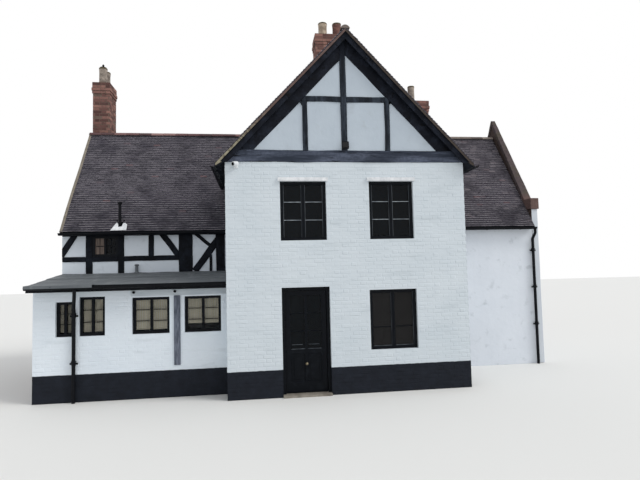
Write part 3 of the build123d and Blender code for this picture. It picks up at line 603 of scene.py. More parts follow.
def aged(node, look, wander, grain, step, ease=0.0, reshape=None):
    """A hand worked copy of a CAD node, which stands for it."""
    work = welded(node)
    bmesh.ops.dissolve_limit(work, angle_limit=radians(0.5), verts=work.verts, edges=work.edges)
    if reshape:
        for vert in work.verts:
            reshape(vert.co)
    if ease:
        bevel(work, ease, 30)
    low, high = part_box(node)
    for axis, direction in enumerate((RIGHT, BACK, UP)):
        cuts = int((high[axis] - low[axis]) / step[axis]) if step[axis] else 0
        for cut in range(1, cuts + 1):
            spot = direction * (low[axis] + cut * (high[axis] - low[axis]) / (cuts + 1))
            whole = [*work.verts, *work.edges, *work.faces]
            bmesh.ops.bisect_plane(work, geom=whole, plane_co=spot, plane_no=direction, dist=1e-6)
    settle(work, wander, grain)
    name = f"{node}_aged"
    put(name, work, bpy.data.meshes.new(name), look, "house", (node,), False)


def lumps(node):
    """The separate solids of a CAD node, each as its lowest and highest corner."""
    work = welded(node)
    left = set(work.verts)
    boxes = []
    while left:
        queue = [left.pop()]
        found = []
        while queue:
            vert = queue.pop()
            found.append(vert.co.copy())
            for edge in vert.link_edges:
                other = edge.other_vert(vert)
                if other in left:
                    left.remove(other)
                    queue.append(other)
        boxes.append([Vector([pick(point[i] for point in found) for i in range(3)]) for pick in (min, max)])
    work.free()
    return sorted(boxes, key=lambda box: tuple(round(value, 4) for value in (*box[0], *box[1])))


def remains(rect, holes, least=0.02):
    """What is left of a rectangle (left, right, low, high) beside its holes."""
    kept = [rect]
    for start, end, foot, head in holes:
        split = []
        for left, right, low, high in kept:
            if start >= right or end <= left or foot >= high or head <= low:
                split.append((left, right, low, high))
                continue
            middle = (max(left, start), min(right, end))
            split += [(left, start, low, high), (end, right, low, high)]
            split += [(*middle, low, foot), (*middle, head, high)]
        kept = [r for r in split if r[1] - r[0] > least and r[3] - r[2] > least]
    return kept


def as_hole(box):
    """A box as a hole in a wall's own (across, up) places."""
    return (box[0].x, box[1].x, box[0].z, box[1].z)


def holes_of(node, near, far):
    """A node's lumps between two depths, as holes in a wall."""
    return [as_hole(box) for box in lumps(node) if near < box[0].y < far]


# Brickwork
def lay_bricks(shape, wall, span, levels, holes, seed, rise=0.003, pale=0.0):
    """Lay bricks in Flemish bond on a wall, around its holes."""
    dice = np.random.default_rng(seed)
    bond = BRICK + HALF_BRICK + 2 * JOINT
    for course in range(int(levels[0] / COURSE), int(levels[1] / COURSE) + 1):
        low = max(course * COURSE, levels[0])
        high = min(course * COURSE + COURSE - JOINT, levels[1])
        if high - low < LEAST_COURSE:
            continue
        start = span[0] - bond * (0.5 if course % 2 else 1.0)
        for pair in range(int((span[1] - start) / bond) + 1):
            for offset, length in ((0, BRICK), (BRICK + JOINT, HALF_BRICK)):
                left = max(start + pair * bond + offset, span[0])
                right = min(start + pair * bond + offset + length, span[1])
                drift = dice.normal(0, 0.0015, 3)
                tone = pale + (1 - pale) * dice.random()
                if right - left < LEAST_BRICK:
                    continue
                rect = (left, right, max(low + drift[0], levels[0]), high + drift[0])
                for part in remains(rect, holes):
                    shape.brick(wall, part, rise + drift[1], tone)


def wing_brickwork():
    """Painted brick faces of the wing."""
    door = as_hole(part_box("door_frame"))
    front_holes = holes_of("wing_window_frames", wing_face, wing_face + 1)
    front_holes += [(door[0], door[1], 0.0, door[3]), *[as_hole(box) for box in lumps("window_drips")]]
    rear_holes = holes_of("wing_window_frames", wing_back - 1, wing_back)
    lean_hole = (lean_face, range_face, -1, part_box("lean_to_roof")[1].z)
    front = Wall((0, wing_face, 0), RIGHT, UP, -BACK)
    rear = Wall((0, wing_back, 0), RIGHT, UP, BACK)
    left = Wall((-half_wing, 0, 0), BACK, UP, -RIGHT)
    right = Wall((half_wing, 0, 0), BACK, UP, RIGHT)
    across, ahead, behind = (-half_wing, half_wing), (wing_face, range_face), (range_back, wing_back)
    faces = (
        (front, across, front_holes), (rear, across, rear_holes), (left, ahead, [lean_hole]),
        (left, behind, ()), (right, ahead, ()), (right, behind, ()),
    )
    shape = Shape()
    for seed, (wall, span, holes) in enumerate(faces, 11):
        lay_bricks(shape, wall, span, (0, wing_wall_top), holes, seed)
    piece("wing_brickwork", shape, "painted_brick")


def lean_to_brickwork():
    """Painted brick face of the lean-to, under many coats of paint."""
    shape = Shape()
    front = Wall((0, lean_face, 0), RIGHT, UP, -BACK)
    levels = (0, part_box("lean_to_fascia")[0].z + 0.09)
    holes = holes_of("side_window_frames", lean_face, lean_face + 0.5)
    lay_bricks(shape, front, (lean_end, -half_wing), levels, holes, 21, 0.0025)
    piece("lean_to_brickwork", shape, "lit_painted_brick")


stack_boxes = lumps("chimney_stacks")
left_stack, middle_stack, right_stack = stack_boxes


def stack_faces(low, high):
    """The four upright faces of a box, each with its width."""
    across, deep = high.x - low.x, high.y - low.y
    return (
        (Wall((low.x, low.y, 0), RIGHT, UP, -BACK), across),
        (Wall((low.x, high.y, 0), RIGHT, UP, BACK), across),
        (Wall((low.x, low.y, 0), BACK, UP, -RIGHT), deep),
        (Wall((high.x, low.y, 0), BACK, UP, RIGHT), deep),
    )


def chimney_brickwork():
    """Red bricks on the shafts and stepped caps of the stacks."""
    shape = Shape()
    inset = Vector((CAP_OUT, CAP_OUT, 0))
    for number, (box, foot) in enumerate(zip(stack_boxes, STACK_FEET)):
        low, high = box[0] + inset, box[1] - inset
        top = high.z - CAP_COURSE * len(CAP_STEPS)
        reach = int(top / COURSE) * COURSE
        for side, (wall, width) in enumerate(stack_faces(low, high)):
            wall.origin.z = top - reach
            lay_bricks(shape, wall, (0, width), (foot, reach), (), 31 + 4 * number + side)
        for index, out in enumerate(CAP_STEPS):
            grown = Vector((out, out, 0))
            for side, (wall, width) in enumerate(stack_faces(low - grown, high + grown)):
                wall.origin.z = top + CAP_COURSE * index
                seed = 61 + 16 * number + 4 * index + side
                pale = 0.6 if index == 1 else 0.0
                lay_bricks(shape, wall, (0, width), (0, CAP_COURSE - JOINT / 2), (), seed, pale=pale)
    piece("chimney_brickwork", shape, "stack_brick")


# Roof coverings
def wing_reach(height):
    """How far the wing reaches from its middle line at a level."""
    if height > wing_eave_top:
        return (wing_ridge - height) / tan(WING_PITCH)
    return half_wing


def lay_tiles(shape, slope, length, spans, holes, seed):
    """Lay plain tiles in courses on a roof slope."""
    dice = np.random.default_rng(seed)
    courses = int(length / TILE_GAUGE + 0.5)
    gauge = length / courses
    for course in range(courses):
        tail = course * gauge
        head = min(tail + gauge + TILE_LAP, length)
        for first, last in spans(tail + gauge / 2):
            for number in range(int((last - first) / TILE_WIDTH) + 2):
                start = first + (number - (0.5 if course % 2 else 0.0)) * TILE_WIDTH
                left = max(start, first)
                right = min(start + TILE_WIDTH, last)
                drift = dice.normal(0, 1, 6)
                tone = dice.random()
                if right - left < LEAST_TILE:
                    continue
                for part in remains((left, right, tail, head), holes, LEAST_TILE):
                    lay_tile(shape, slope, part, tail, head, drift, tone)


def lay_tile(shape, slope, rect, tail, head, drift, tone):
    """One cambered tile, its tail proud of the course below."""
    left, right, low, high = rect
    slip = 0.0 if tail < 0.01 else 0.003 * float(np.clip(drift[0], -2, 2))
    points = []
    rows = ((low + slip, TAIL_LIFT * (1 - (low - tail) / (head - tail)) + HEAD_LIFT), (high, HEAD_LIFT))
    for v, lift in rows:
        for share in (0.0, 0.33, 0.67, 1.0):
            u = left + TILE_GAP + (right - left - 2 * TILE_GAP) * share
            crown = TILE_CAMBER * (1 - (2 * share - 1) ** 2)
            twist = 0.0016 * drift[1] * (share - 0.5) + 0.0016 * abs(drift[2])
            sway = TILE_SWAY * (0.5 + 0.5 * noise.noise(slope.at(u, v) * 0.7))
            height = lift + crown + twist + sway
            points += [slope.at(u, v, height), slope.at(u, v, height - TILE_THICK)]
    faces = []
    for a in (0, 2, 4):
        faces += [(a, a + 2, a + 10, a + 8), (a + 1, a + 9, a + 11, a + 3)]
        faces += [(a, a + 1, a + 3, a + 2), (a + 8, a + 10, a + 11, a + 9)]
    faces += [(0, 8, 9, 1), (6, 7, 15, 14)]
    # The tail's eight points carry the painted highlight; the head's carry none.
    shape.add(points, faces, tone, [1.0] * 8 + [0.0] * 8)


def wing_spans(v):
    """Where the wing is tiled, from front to back, at a place up its slope."""
    height = wing_eave_top + v * sin(WING_PITCH)
    if height > range_ridge:
        return [(verge_front, verge_back)]
    reach = (range_ridge - height) / tan(RANGE_PITCH) - VALLEY_GAP
    return [(verge_front, range_ridge_line - reach), (range_ridge_line + reach, verge_back)]


def roof_slope(foot, along, inward, pitch):
    """A slope that rises inward from a point on its eave."""
    up, out = inward * cos(pitch) + UP * sin(pitch), UP * cos(pitch) - inward * sin(pitch)
    return Wall(foot, along, up, out)


def wing_tiles():
    """Tiles on both slopes of the wing."""
    length = wing_eave / cos(WING_PITCH)
    low, high = middle_stack
    for side, name in ((-1, "left"), (1, "right")):
        slope = roof_slope((side * wing_eave, 0, wing_eave_top), BACK, RIGHT * -side, WING_PITCH)
        edge = (high.x if side > 0 else -low.x) - CAP_OUT
        hole = (low.y + CAP_OUT, high.y - CAP_OUT, (wing_eave - edge) / cos(WING_PITCH), length + 1)
        shape = Shape()
        lay_tiles(shape, slope, length, wing_spans, [hole], 101 + side)
        piece(f"wing_tiles_{name}", shape, "clay_tile")


def range_slope(side):
    """The front or rear slope of the long range, measured from X = 0."""
    line = range_eave_line if side < 0 else range_rear_line
    return roof_slope((0, line, range_eave_top), RIGHT, BACK * -side, RANGE_PITCH)


range_rise = (range_ridge_line - range_eave_line) / cos(RANGE_PITCH)
flue_low, flue_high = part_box("flue_pipe")
flue_line = (flue_low.x + flue_high.x) / 2


def range_tiles():
    """Tiles on the slopes of the long range, left and right of the wing."""
    for side, back_name in ((-1, "front"), (1, "rear")):
        for hand, name, end, (low, high), look in (
            (-1, "left", left_end, left_stack, "clay_tile"),
            (1, "right", parapet_start, right_stack, "warm_tile"),
        ):
            def spans(v):
                inner = hand * (wing_reach(range_eave_top + v * sin(RANGE_PITCH)) - 0.03)
                return [tuple(sorted((end, inner)))]

            near = low.y + CAP_OUT if side < 0 else range_rear_line - high.y + CAP_OUT
            foot = (near - range_eave_line if side < 0 else near) / cos(RANGE_PITCH)
            holes = [(low.x + CAP_OUT, high.x - CAP_OUT, foot, range_rise + 1)]
            if side < 0 and hand < 0:
                holes.append((flue_line - 0.06, flue_line + 0.06, 0.10, 0.28))
            shape = Shape()
            lay_tiles(shape, range_slope(side), range_rise, spans, holes, 111 + 2 * side + hand)
            piece(f"{name}_tiles_{back_name}", shape, look)


def arch(across, radius, order=1):
    """An arch of points over a line."""
    turns = [radians(-72 + 18 * step) for step in range(9)][::order]
    return [(across * sin(turn) + UP * cos(turn)) * radius for turn in turns]


def ridge_tiles(name, look, starts, along, seed, size):
    """Half round ridge tiles end to end from each start."""
    shape = Shape()
    across = along.cross(UP)
    outline = [*arch(across, RIDGE_RADIUS * size), *arch(across, (RIDGE_RADIUS - RIDGE_THICK) * size, -1)]
    for start, length in starts:
        dice = np.random.default_rng(seed)
        count = max(1, round(length / RIDGE_TILE))
        run = length / count
        for number in range(count):
            drift = dice.normal(0, 1, 3)
            sink = -0.003 - 0.002 * abs(drift[0])
            base = start + along * (number * run + 0.002) + UP * sink
            slant = along * (run - 0.004) + across * 0.003 * float(np.clip(drift[1], -1, 1))
            shape.prism([base + point for point in outline], slant, float(dice.random()))
    piece(name, shape, look, replaces=("ridge_tiles",), ease=0.003)


def ridges():
    """Ridge tiles of the wing and the ranges, left open where a stack stands."""
    top = wing_ridge - WING_RIDGE_SINK
    runs = ((verge_front, middle_stack[0].y + CAP_OUT), (middle_stack[1].y - CAP_OUT, verge_back))
    starts = [(Vector((0, near, top)), far - near) for near, far in runs]
    ridge_tiles("wing_ridge_tiles", "verge_clay", starts, BACK, 121, 0.86)
    shape = Shape()
    for end, run in ((verge_front + 0.006, 0.06), (verge_back - 0.006, -0.06)):
        filled = [Vector((0, end, top)) + point for point in arch(RIGHT, RIDGE_RADIUS * 0.74)]
        shape.prism(filled, BACK * run)
    piece("ridge_end_mortar", shape, "verge_clay", wander=0.004)
    level = range_ridge - RANGE_RIDGE_SINK
    valley = wing_reach(range_ridge)
    before_stack = (valley + VALLEY_GAP, right_stack[0].x + CAP_OUT)
    after_stack = (right_stack[1].x - CAP_OUT, parapet_start)
    for name, look, runs in (
        ("left_ridge_tiles", "ridge_clay", ((left_end, -valley - VALLEY_GAP),)),
        ("right_ridge_tiles", "verge_clay", (before_stack, after_stack)),
    ):
        starts = [(Vector((near, range_ridge_line, level)), far - near) for near, far in runs]
        ridge_tiles(name, look, starts, RIGHT, 122, 1.0)


def mortar_fillets():
    """Lime mortar along the left range's end."""
    shape = Shape()
    section = ((0.0, 0.0), (0.060, 0.0), (0.055, 0.036), (0.030, 0.046), (0.0, 0.040))
    steps = 24
    for side in (-1, 1):
        slope = range_slope(side)
        outline = [slope.at(left_end + across, 0.0, out) for across, out in section]
        for step in range(steps):
            start = slope.up * ((range_rise - 0.02) * step / steps)
            shape.prism([point + start for point in outline], slope.up * ((range_rise - 0.02) / steps))
    piece("mortar_fillets", shape, "bedding", wander=0.010)


# Windows
BARS = {"upper": (0.33, 0.67), "lower": (0.36,), "lean_to": (0.32, 0.68), "loft": (0.5,), "rear": (0.5,)}


def window_kind(low):
    """Which of the house's windows a light belongs to."""
    if low.y < wing_face + 0.3 or low.y > wing_back - 0.3:
        return "upper" if low.z > 2.5 else "lower"
    if low.y < lean_face + 0.3:
        return "lean_to"
    return "loft" if low.y < range_face + 0.3 else "rear"


def sashes():
    """Casements, glazing bars, and pale lines of worn paint and painted highlight."""
    wood, bars, wear_and_highlight = Shape(), Shape(), Shape()
    for low, high in lumps("window_glass"):
        outward = 1 if low.y > range_ridge_line else -1
        pane_face = low.y if outward < 0 else high.y
        near, far = sorted((pane_face + outward * 0.019, pane_face - outward * 0.012))
        left, right, foot, head = as_hole((low, high))
        kind = window_kind(low)
        if kind not in ("loft", "lean_to"):
            wood.ring((left, right, foot, head), (near, far), STILE)
        outer, inner = (near + 0.003, far) if outward < 0 else (near, far - 0.003)
        target = bars if kind in ("upper", "rear") else wood
        half = (THIN_BAR if kind in ("upper", "lean_to") else BAR) / 2
        for share in BARS[kind]:
            level = foot + share * (head - foot)
            target.block((left + STILE, outer, level - half), (right - STILE, inner, level + half))
        # Pale lines along the frames' inner edges: partly worn paint, partly painted highlight.
        start, end = sorted((pane_face + outward * 0.018, pane_face + outward * 0.0205))
        if kind in ("upper", "rear"):
            for edge in (left + STILE - 0.004, right - STILE - 0.004):
                wear_and_highlight.block((edge, start, foot + 0.01), (edge + 0.008, end, head - 0.01))
        if kind == "lower":
            line, edge = foot + STILE, right - STILE
            wear_and_highlight.block((left + 0.02, start, line - 0.006), (right - 0.02, end, line + 0.006))
            wear_and_highlight.block((edge - 0.004, start, foot + 0.02), (edge + 0.003, end, head))
        if kind == "loft":
            middle = (left + right) / 2
            wood.block((middle - 0.005, near + 0.006, foot), (middle + 0.005, far, head))
    piece("window_sashes", wood, "black_frame", ease=0.002)
    piece("window_bars", bars, "bar_paint", ease=0.002)
    piece("window_wear_and_highlight_lines", wear_and_highlight, "dull_line")


def glazing():
    """Glass, the lean-to's slatted blinds and a curtain in the loft."""
    dark, clear, brown, slats, cloth = Shape(), Shape(), Shape(), Shape(), Shape()
    for low, high in lumps("window_glass"):
        kind = window_kind(low)
        curtained = kind == "loft" and high.x < CURTAIN_END
        target = clear if kind == "lean_to" else brown if kind == "lower" or curtained else dark
        target.block(low, high)
        if curtained:
            cloth.block((low.x, low.y - 0.004, low.z), (high.x, low.y - 0.001, high.z))
        if kind != "lean_to":
            continue
        width = (high.x - low.x) / SLATS
        foot = low.z + (0.11 if low.x > SHORT_BLINDS_START else 0.02)
        for slat in range(SLATS):
            left = low.x + slat * width
            depth = low.y + 0.022 + 0.003 * (slat % 2)
            slats.block((left + 0.003, depth, foot), (left + width - 0.003, depth + 0.003, high.z))
    piece("window_panes", dark, "pane", replaces=("window_glass",))
    piece("lean_to_panes", clear, "clear_pane", replaces=("window_glass",))
    piece("room_panes", brown, "room_pane", replaces=("window_glass",))
    piece("window_blinds", slats, "blind_cloth")
    piece("loft_curtain", cloth, "curtain")


def door_details():
    """Glazing bars, panel mouldings, and pale lines of worn paint and painted highlight on the front door."""
    wood, lines = Shape(), Shape()
    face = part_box("front_door")[0].y
    foot, head, field = 0.250, 0.800, 0.055
    for low, high in lumps("door_glass"):
        rise = high.z - low.z
        near, far = low.y - 0.016, high.y + 0.012
        for level in (low.z + rise / 3, low.z + 2 * rise / 3):
            wood.block((low.x, near, level - BAR / 2), (high.x, far, level + BAR / 2))
        # Pale lines on the rails under the glass: partly worn paint, partly painted highlight.
        lines.block((low.x + 0.01, near, low.z), (high.x - 0.01, near + 0.004, low.z + 0.010))
        lines.block((low.x + 0.02, near, low.z + 0.085), (high.x - 0.05, near + 0.003, low.z + 0.093))
        wood.ring((low.x, high.x, foot, head), (face + 0.004, face + 0.014), BAR)
        corner = (low.x + field, face + 0.005, foot + field)
        wood.block(corner, (high.x - field, face + 0.014, head - field))
    piece("door_mouldings", wood, "black_frame", body="door", ease=0.004)
    piece("door_wear_and_highlight_lines", lines, "dull_line", body="door")


# Lean-to roof
def lean_to_covering():
    """The lean-to's sheet roof: laps, a rolled lip and a flap over the gutter."""
    low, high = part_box("lean_to_roof")
    foot = (0, low.y, high.z - (high.y - low.y) * tan(LEAN_PITCH))
    slope = roof_slope(foot, RIGHT, BACK, LEAN_PITCH)
    start, flap_end, end = low.x + 0.003, -4.86, high.x - 0.003
    laps = (0.0, 0.42, 0.86, 1.28, (high.y - low.y) / cos(LEAN_PITCH) - 0.004)
    shape = Shape()
    for near, far, lift in zip(laps, laps[1:], (0.010, 0.007, 0.010, 0.007)):
        section = ((near, 0.0), (near, lift + 0.004), (far, lift - 0.003), (far, 0.0))
        shape.prism([slope.at(start, v, out) for v, out in section], RIGHT * (end - start))
    shape.rod(slope.at(flap_end, -0.004, -0.008), slope.at(end, -0.004, -0.008), 0.022, 14)
    back, front, top, drop = low.y + 0.03, low.y - 0.147, low.z + 0.126, 0.060
    section = (
        (back, top + 0.004), (front, top - 0.004), (front - 0.004, top - drop),
        (front, top - drop), (front + 0.004, top - 0.012), (back, top - 0.006),
    )
    shape.prism([Vector((start, y, z)) for y, z in section], RIGHT * (flap_end - start))
    piece("lean_to_covering", shape, "lead_roof", ease=0.002, smooth=True, wander=0.004)
    board = Shape()
    board_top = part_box("lean_to_fascia")[0].z + 0.012
    board.block((-4.27, lean_face - 0.012, 1.975), (end, lean_face, board_top))
    piece("lean_to_top_board", board, "white_board", ease=0.003)
    fixings = Shape()
    for across in (-4.21, -3.43):
        ends = [Vector((across, lean_face - out, 2.055)) for out in (0.040, 0.011)]
        fixings.rod(*ends, 0.026, 12)
    piece("lean_to_fixings", fixings, "black_iron")


# Chimney pots, as (share of the radius, share of the rise, height above that)
POT = (
    (0.97, 0, 0.0), (0.97, 0, 0.03), (0.96, 0, 0.050), (0.93, 1, -0.105), (0.97, 1, -0.090),
    (0.95, 1, -0.075), (0.985, 1, -0.055), (0.985, 1, -0.012), (0.94, 1, -0.004), (0.72, 1, -0.004),
    (0.70, 0, 0.0),
)
POT_RIM = ((0.985, 1, -0.040), (1, 1, -0.030), (1, 1, -0.008), (0.95, 1, 0), (0.74, 1, 0), (0.74, 1, -0.010))
COWL = ((0.80, 1, -0.004), (0.80, 1, 0.020), (0.45, 1, 0.045))
FINIAL = ((0.020, 0.055), (0.030, 0.085), (0.012, 0.112), (0.002, 0.112), (0.002, -0.004))


def squared(angle):
    """How far a pot that is nearly square reaches in a direction."""
    return 1 - 0.05 * (1 - cos(4 * angle)) / 2


def pots():
    """Clay pots, set in mortar on their stacks."""
    groups = {"buff_pot": Shape(), "red_pot": Shape(), "grey_pots": Shape()}
    rims, metal, beds = Shape(), Shape(), Shape()
    left_half = (left_stack[0].y + left_stack[1].y) / 2
    for low, high in lumps("chimney_pots"):
        centre = Vector(((low.x + high.x) / 2, (low.y + high.y) / 2, low.z))
        radius, rise = (high.x - low.x) / 2, high.z - low.z
        pot, rim, cowl = (
            [(radius * share, at * rise + above) for share, at, above in rows]
            for rows in (POT, POT_RIM, COWL)
        )
        kind = "red_pot" if radius > 0.1315 else "buff_pot" if radius > 0.12 else "grey_pots"
        bulge = None if kind == "buff_pot" else squared
        groups[kind].lathe(centre, pot, 48, bulge)
        rims.lathe(centre, rim, 48, bulge)
        if centre.x < left_stack[1].x and centre.y < left_half:
            metal.lathe(centre, [*cowl, *[(reach, rise + above) for reach, above in FINIAL]], 20)
        bed = ((radius * 0.8, -0.004), (radius + 0.05, -0.004), (radius, 0.05), (radius * 0.8, 0.05))
        beds.lathe(centre, bed, 28)
    for (name, shape), look in zip(groups.items(), ("buff_clay", "red_clay", "grey_clay")):
        piece(name, shape, look, replaces=("chimney_pots",), smooth=True, wander=0.003)
    piece("mossy_rims", rims, "moss", smooth=True, wander=0.003)
    piece("pot_cowl", metal, "black_iron", smooth=True)
    piece("flaunchings", beds, "stack_mortar", smooth=True, wander=0.006)


# Rainwater goods
def gutter_brackets():
    """Brackets and joints along the gutters."""
    shape = Shape()
    turns = [pi * k / 12 for k in range(13)]
    for low, high in lumps("gutters"):
        lengthwise = 0 if high.x - low.x > high.y - low.y else 1
        across = 1 - lengthwise
        along, aside = (RIGHT, BACK)[lengthwise], (RIGHT, BACK)[across]
        radius = (high[across] - low[across]) / 2
        run = high[lengthwise] - low[lengthwise]
        count = max(2, round(run / 0.9))
        for index in range(count):
            base = Vector((0, 0, high.z))
            base[lengthwise] = low[lengthwise] + run * (index + 0.5) / count
            base[across] = (low[across] + high[across]) / 2
            outline = [
                base + aside * cos(turn) * reach - UP * sin(turn) * reach
                for reach, order in ((radius + 0.006, 1), (radius - 0.001, -1))
                for turn in turns[::order]
            ]
            shape.prism(outline, along * 0.028)
    piece("gutter_brackets", shape, "black_iron", smooth=True)


def downpipe_collars():
    """Sockets with ears on the downpipes."""
    shape = Shape()
    socket = ((0, 0), (0.004, 0.004), (0.008, 0.06), (0.012, 0.075), (0.012, 0.09), (0, 0.09))
    for low, high in lumps("downpipes"):
        centre = Vector(((low.x + high.x) / 2, high.y - 0.034, 0))
        radius = (high.x - low.x) / 2
        level = high.z - 0.55
        while level > 0.15:
            base = centre + UP * level
            shape.lathe(base, [(radius + out, height) for out, height in socket], 20)
            shape.block_at(base, (-0.075, 0.012, 0.02), (0.075, 0.024, 0.055))
            level -= 0.9
    piece("downpipe_collars", shape, "black_iron", smooth=True)


# Flue and other small things
def flue():
    """Flue pipe through a white painted flashing."""
    slope = range_slope(-1)
    radius = 0.032
    foot = slope.at(flue_line, (flue_low.y + 0.105 - range_eave_line) / cos(RANGE_PITCH), 0)
    rise = flue_high.z - foot.z
    pipe = Shape()
    profile = (
        (radius, -0.02), (radius, rise - 0.050), (radius + 0.016, rise - 0.042),
        (radius + 0.018, rise - 0.010), (radius + 0.006, rise - 0.001), (0.002, rise - 0.001), (0.002, -0.02),
    )
    pipe.lathe(foot, profile, 28)
    pipe.lathe(foot, ((radius, 0.03), (radius + 0.012, 0.04), (radius + 0.010, 0.07), (radius, 0.08)), 28)
    piece("flue_pipe_aged", pipe, "black_iron", replaces=("flue_pipe",), smooth=True)
    sheet = Shape()
    half = (flue_high.x - flue_low.x) / 2
    outline = (
        (-1, 0.002), (1, 0.010), (0.98, 0.17), (0.70, 0.225), (0.42, 0.215),
        (0.34, 0.120), (-0.10, 0.105), (-0.16, 0.200), (-0.38, 0.235), (-0.62, 0.150),
    )
    sheet.prism([slope.at(flue_line + half * u, v, 0.034) for u, v in outline], slope.out * 0.010)
    piece("flue_flashing", sheet, "white_metal", ease=0.003, wander=0.005)


def wall_fittings():
    """A wall camera, a floodlight, a side board and a roof vent."""
    white, dark, lens, board, vent = Shape(), Shape(), Shape(), Shape(), Shape()
    eye = Vector((-2.195, wing_face, 4.475))
    white.block_at(eye, (-0.035, -0.018, -0.075), (0.045, 0, 0.020))
    for target, start, end, radius, sides in (
        (white, (0, -0.01, -0.02), (-0.010, -0.070, 0.0), 0.024, 14),
        (white, (0.030, -0.045, 0.008), (-0.045, -0.118, -0.012), 0.048, 22),
        (lens, (-0.043, -0.116, -0.012), (-0.053, -0.126, -0.015), 0.032, 22),
    ):
        target.rod(eye + Vector(start), eye + Vector(end), radius, sides)
    lamp = Vector((-0.050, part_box("gable_king_posts")[0].y, 4.850))
    dark.block_at(lamp, (-0.012, -0.045, -0.015), (0.012, 0, 0.015))
    dark.block_at(lamp, (-0.070, -0.085, -0.070), (0.070, -0.045, 0.072))
    lens.block_at(lamp, (-0.058, -0.090, -0.045), (0.058, -0.084, 0.058))
    piece("wall_camera", white, "white_metal", ease=0.002, smooth=True)
    piece("floodlight", dark, "black_iron", ease=0.004)
    piece("lamp_and_lens", lens, "lens_black", ease=0.002)
    board.block((-3.451, lean_face - 0.030, 0.62), (-3.330, lean_face, 1.972))
    piece("side_board", board, "grey_board", ease=0.004)
    spot = Vector((-4.465, range_face - 0.060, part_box("lean_to_roof")[1].z - 0.004))
    stem = ((0.060, 0.0), (0.058, 0.012), (0.036, 0.030), (0.032, 0.150), (0.002, 0.150), (0.002, 0.0))
    vent.lathe(spot, stem, 20)
    vent.lathe(spot, ((0.020, 0.150), (0.046, 0.165), (0.044, 0.190), (0.002, 0.200), (0.002, 0.150)), 20)
    piece("lean_to_vent", vent, "lead_roof", smooth=True)


# Nodes carried over from the frame
CARRIED = {
    "painted_brick": "front_wall_left front_wall_right front_wall_upper wing_left_wall "
                     "wing_right_wall wing_rear_wall",
    "lit_painted_brick": "lean_to_wall",
    "white_metal": "window_drips",
    "render": "left_low_wall",
    "verge_edge": "wing_roof_left wing_roof_right",
    "eave_edge": "left_roof_front left_roof_rear right_roof_front right_roof_rear",
    "lead_roof": "lean_to_roof",
    "stack_mortar": "chimney_stacks",
    "stone": "ground_floors door_sill",
    "boards": "upper_floors",
    "black_frame": "wing_window_frames side_window_frames door_frame front_door lean_to_fascia",
    "pane": "door_glass",
    "brass": "door_knob",
    "black_iron": "door_hinge_pins door_hinge_knuckles gutters",
}


def dress_nodes():
    """Give each CAD node that shows its finish."""
    for look, names in CARRIED.items():
        for name in names.split():
            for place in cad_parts[name].material_slots:
                place.link = "OBJECT"
                place.material = looks[look]


# Worn and leaning shapes
WING_ROOF_THICK = 0.080
RAFTER_DEPTH = 0.290
RAFTER_WEAR = 0.046
STUD_EDGE = 0.882
PARAPET_FACE = 5.1
KNEELER_FOOT = 4.07
PARAPET_TAPER = 0.090
NECK_START = 0.094
NECK_SLANT = 0.42


def slimmer_rafters(place):
    """Move a point on the rafters' inner edge out."""
    underside = wing_ridge - WING_ROOF_THICK / cos(WING_PITCH)
    inset = (underside - place.z) * cos(WING_PITCH) - abs(place.x) * sin(WING_PITCH)
    if abs(inset - RAFTER_DEPTH) > 0.004:
        return
    if abs(place.x) < 0.13 or abs(abs(place.x) - STUD_EDGE) < 0.004:
        place.z += RAFTER_WEAR / cos(WING_PITCH)
    else:
        place.x += RAFTER_WEAR / sin(WING_PITCH) * (1 if place.x > 0 else -1)


def leaning_parapet(place):
    """Lean the parapet's outer face in."""
    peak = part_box("parapet_coping")[1].z
    if place.x > PARAPET_FACE and place.z > KNEELER_FOOT:
        place.x -= PARAPET_TAPER * (place.z - KNEELER_FOOT) / (peak - KNEELER_FOOT)


def slanted_neck(place):
    """Lean the left downpipe's neck to the right."""
    line = lean_face - NECK_START
    if place.x < 0 and place.y < line:
        place.x += NECK_SLANT * (line - place.y)


def brace_heads():
    """The heads of the braces, where they run up into the plate."""
    shape = Shape()
    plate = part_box("frame_braces")[1].z
    front, behind, top = range_face + 0.002, range_face + 0.12, plate + 0.01
    for foot, head, width in (
        ((-6.136, 2.746), (-5.816, 3.270), 0.130),
        ((-3.540, 2.760), (-3.908, 3.270), 0.130),
        ((-2.830, 2.987), (-3.163, 3.270), 0.075),
    ):
        run = Vector((head[0] - foot[0], 0, head[1] - foot[1])).normalized()
        aside = Vector((run.z, 0, -run.x)) * (width / 2)
        start = Vector((head[0], front, plate))
        corner = start + (aside if aside.z < 0 else -aside)
        reach = corner + run * ((top - corner.z) / run.z)
        outline = [start - run * 0.05, corner - run * 0.05, reach, Vector((head[0], front, top))]
        shape.prism(outline, BACK * (behind - front))
    piece("brace_heads", shape, "timber_frame")


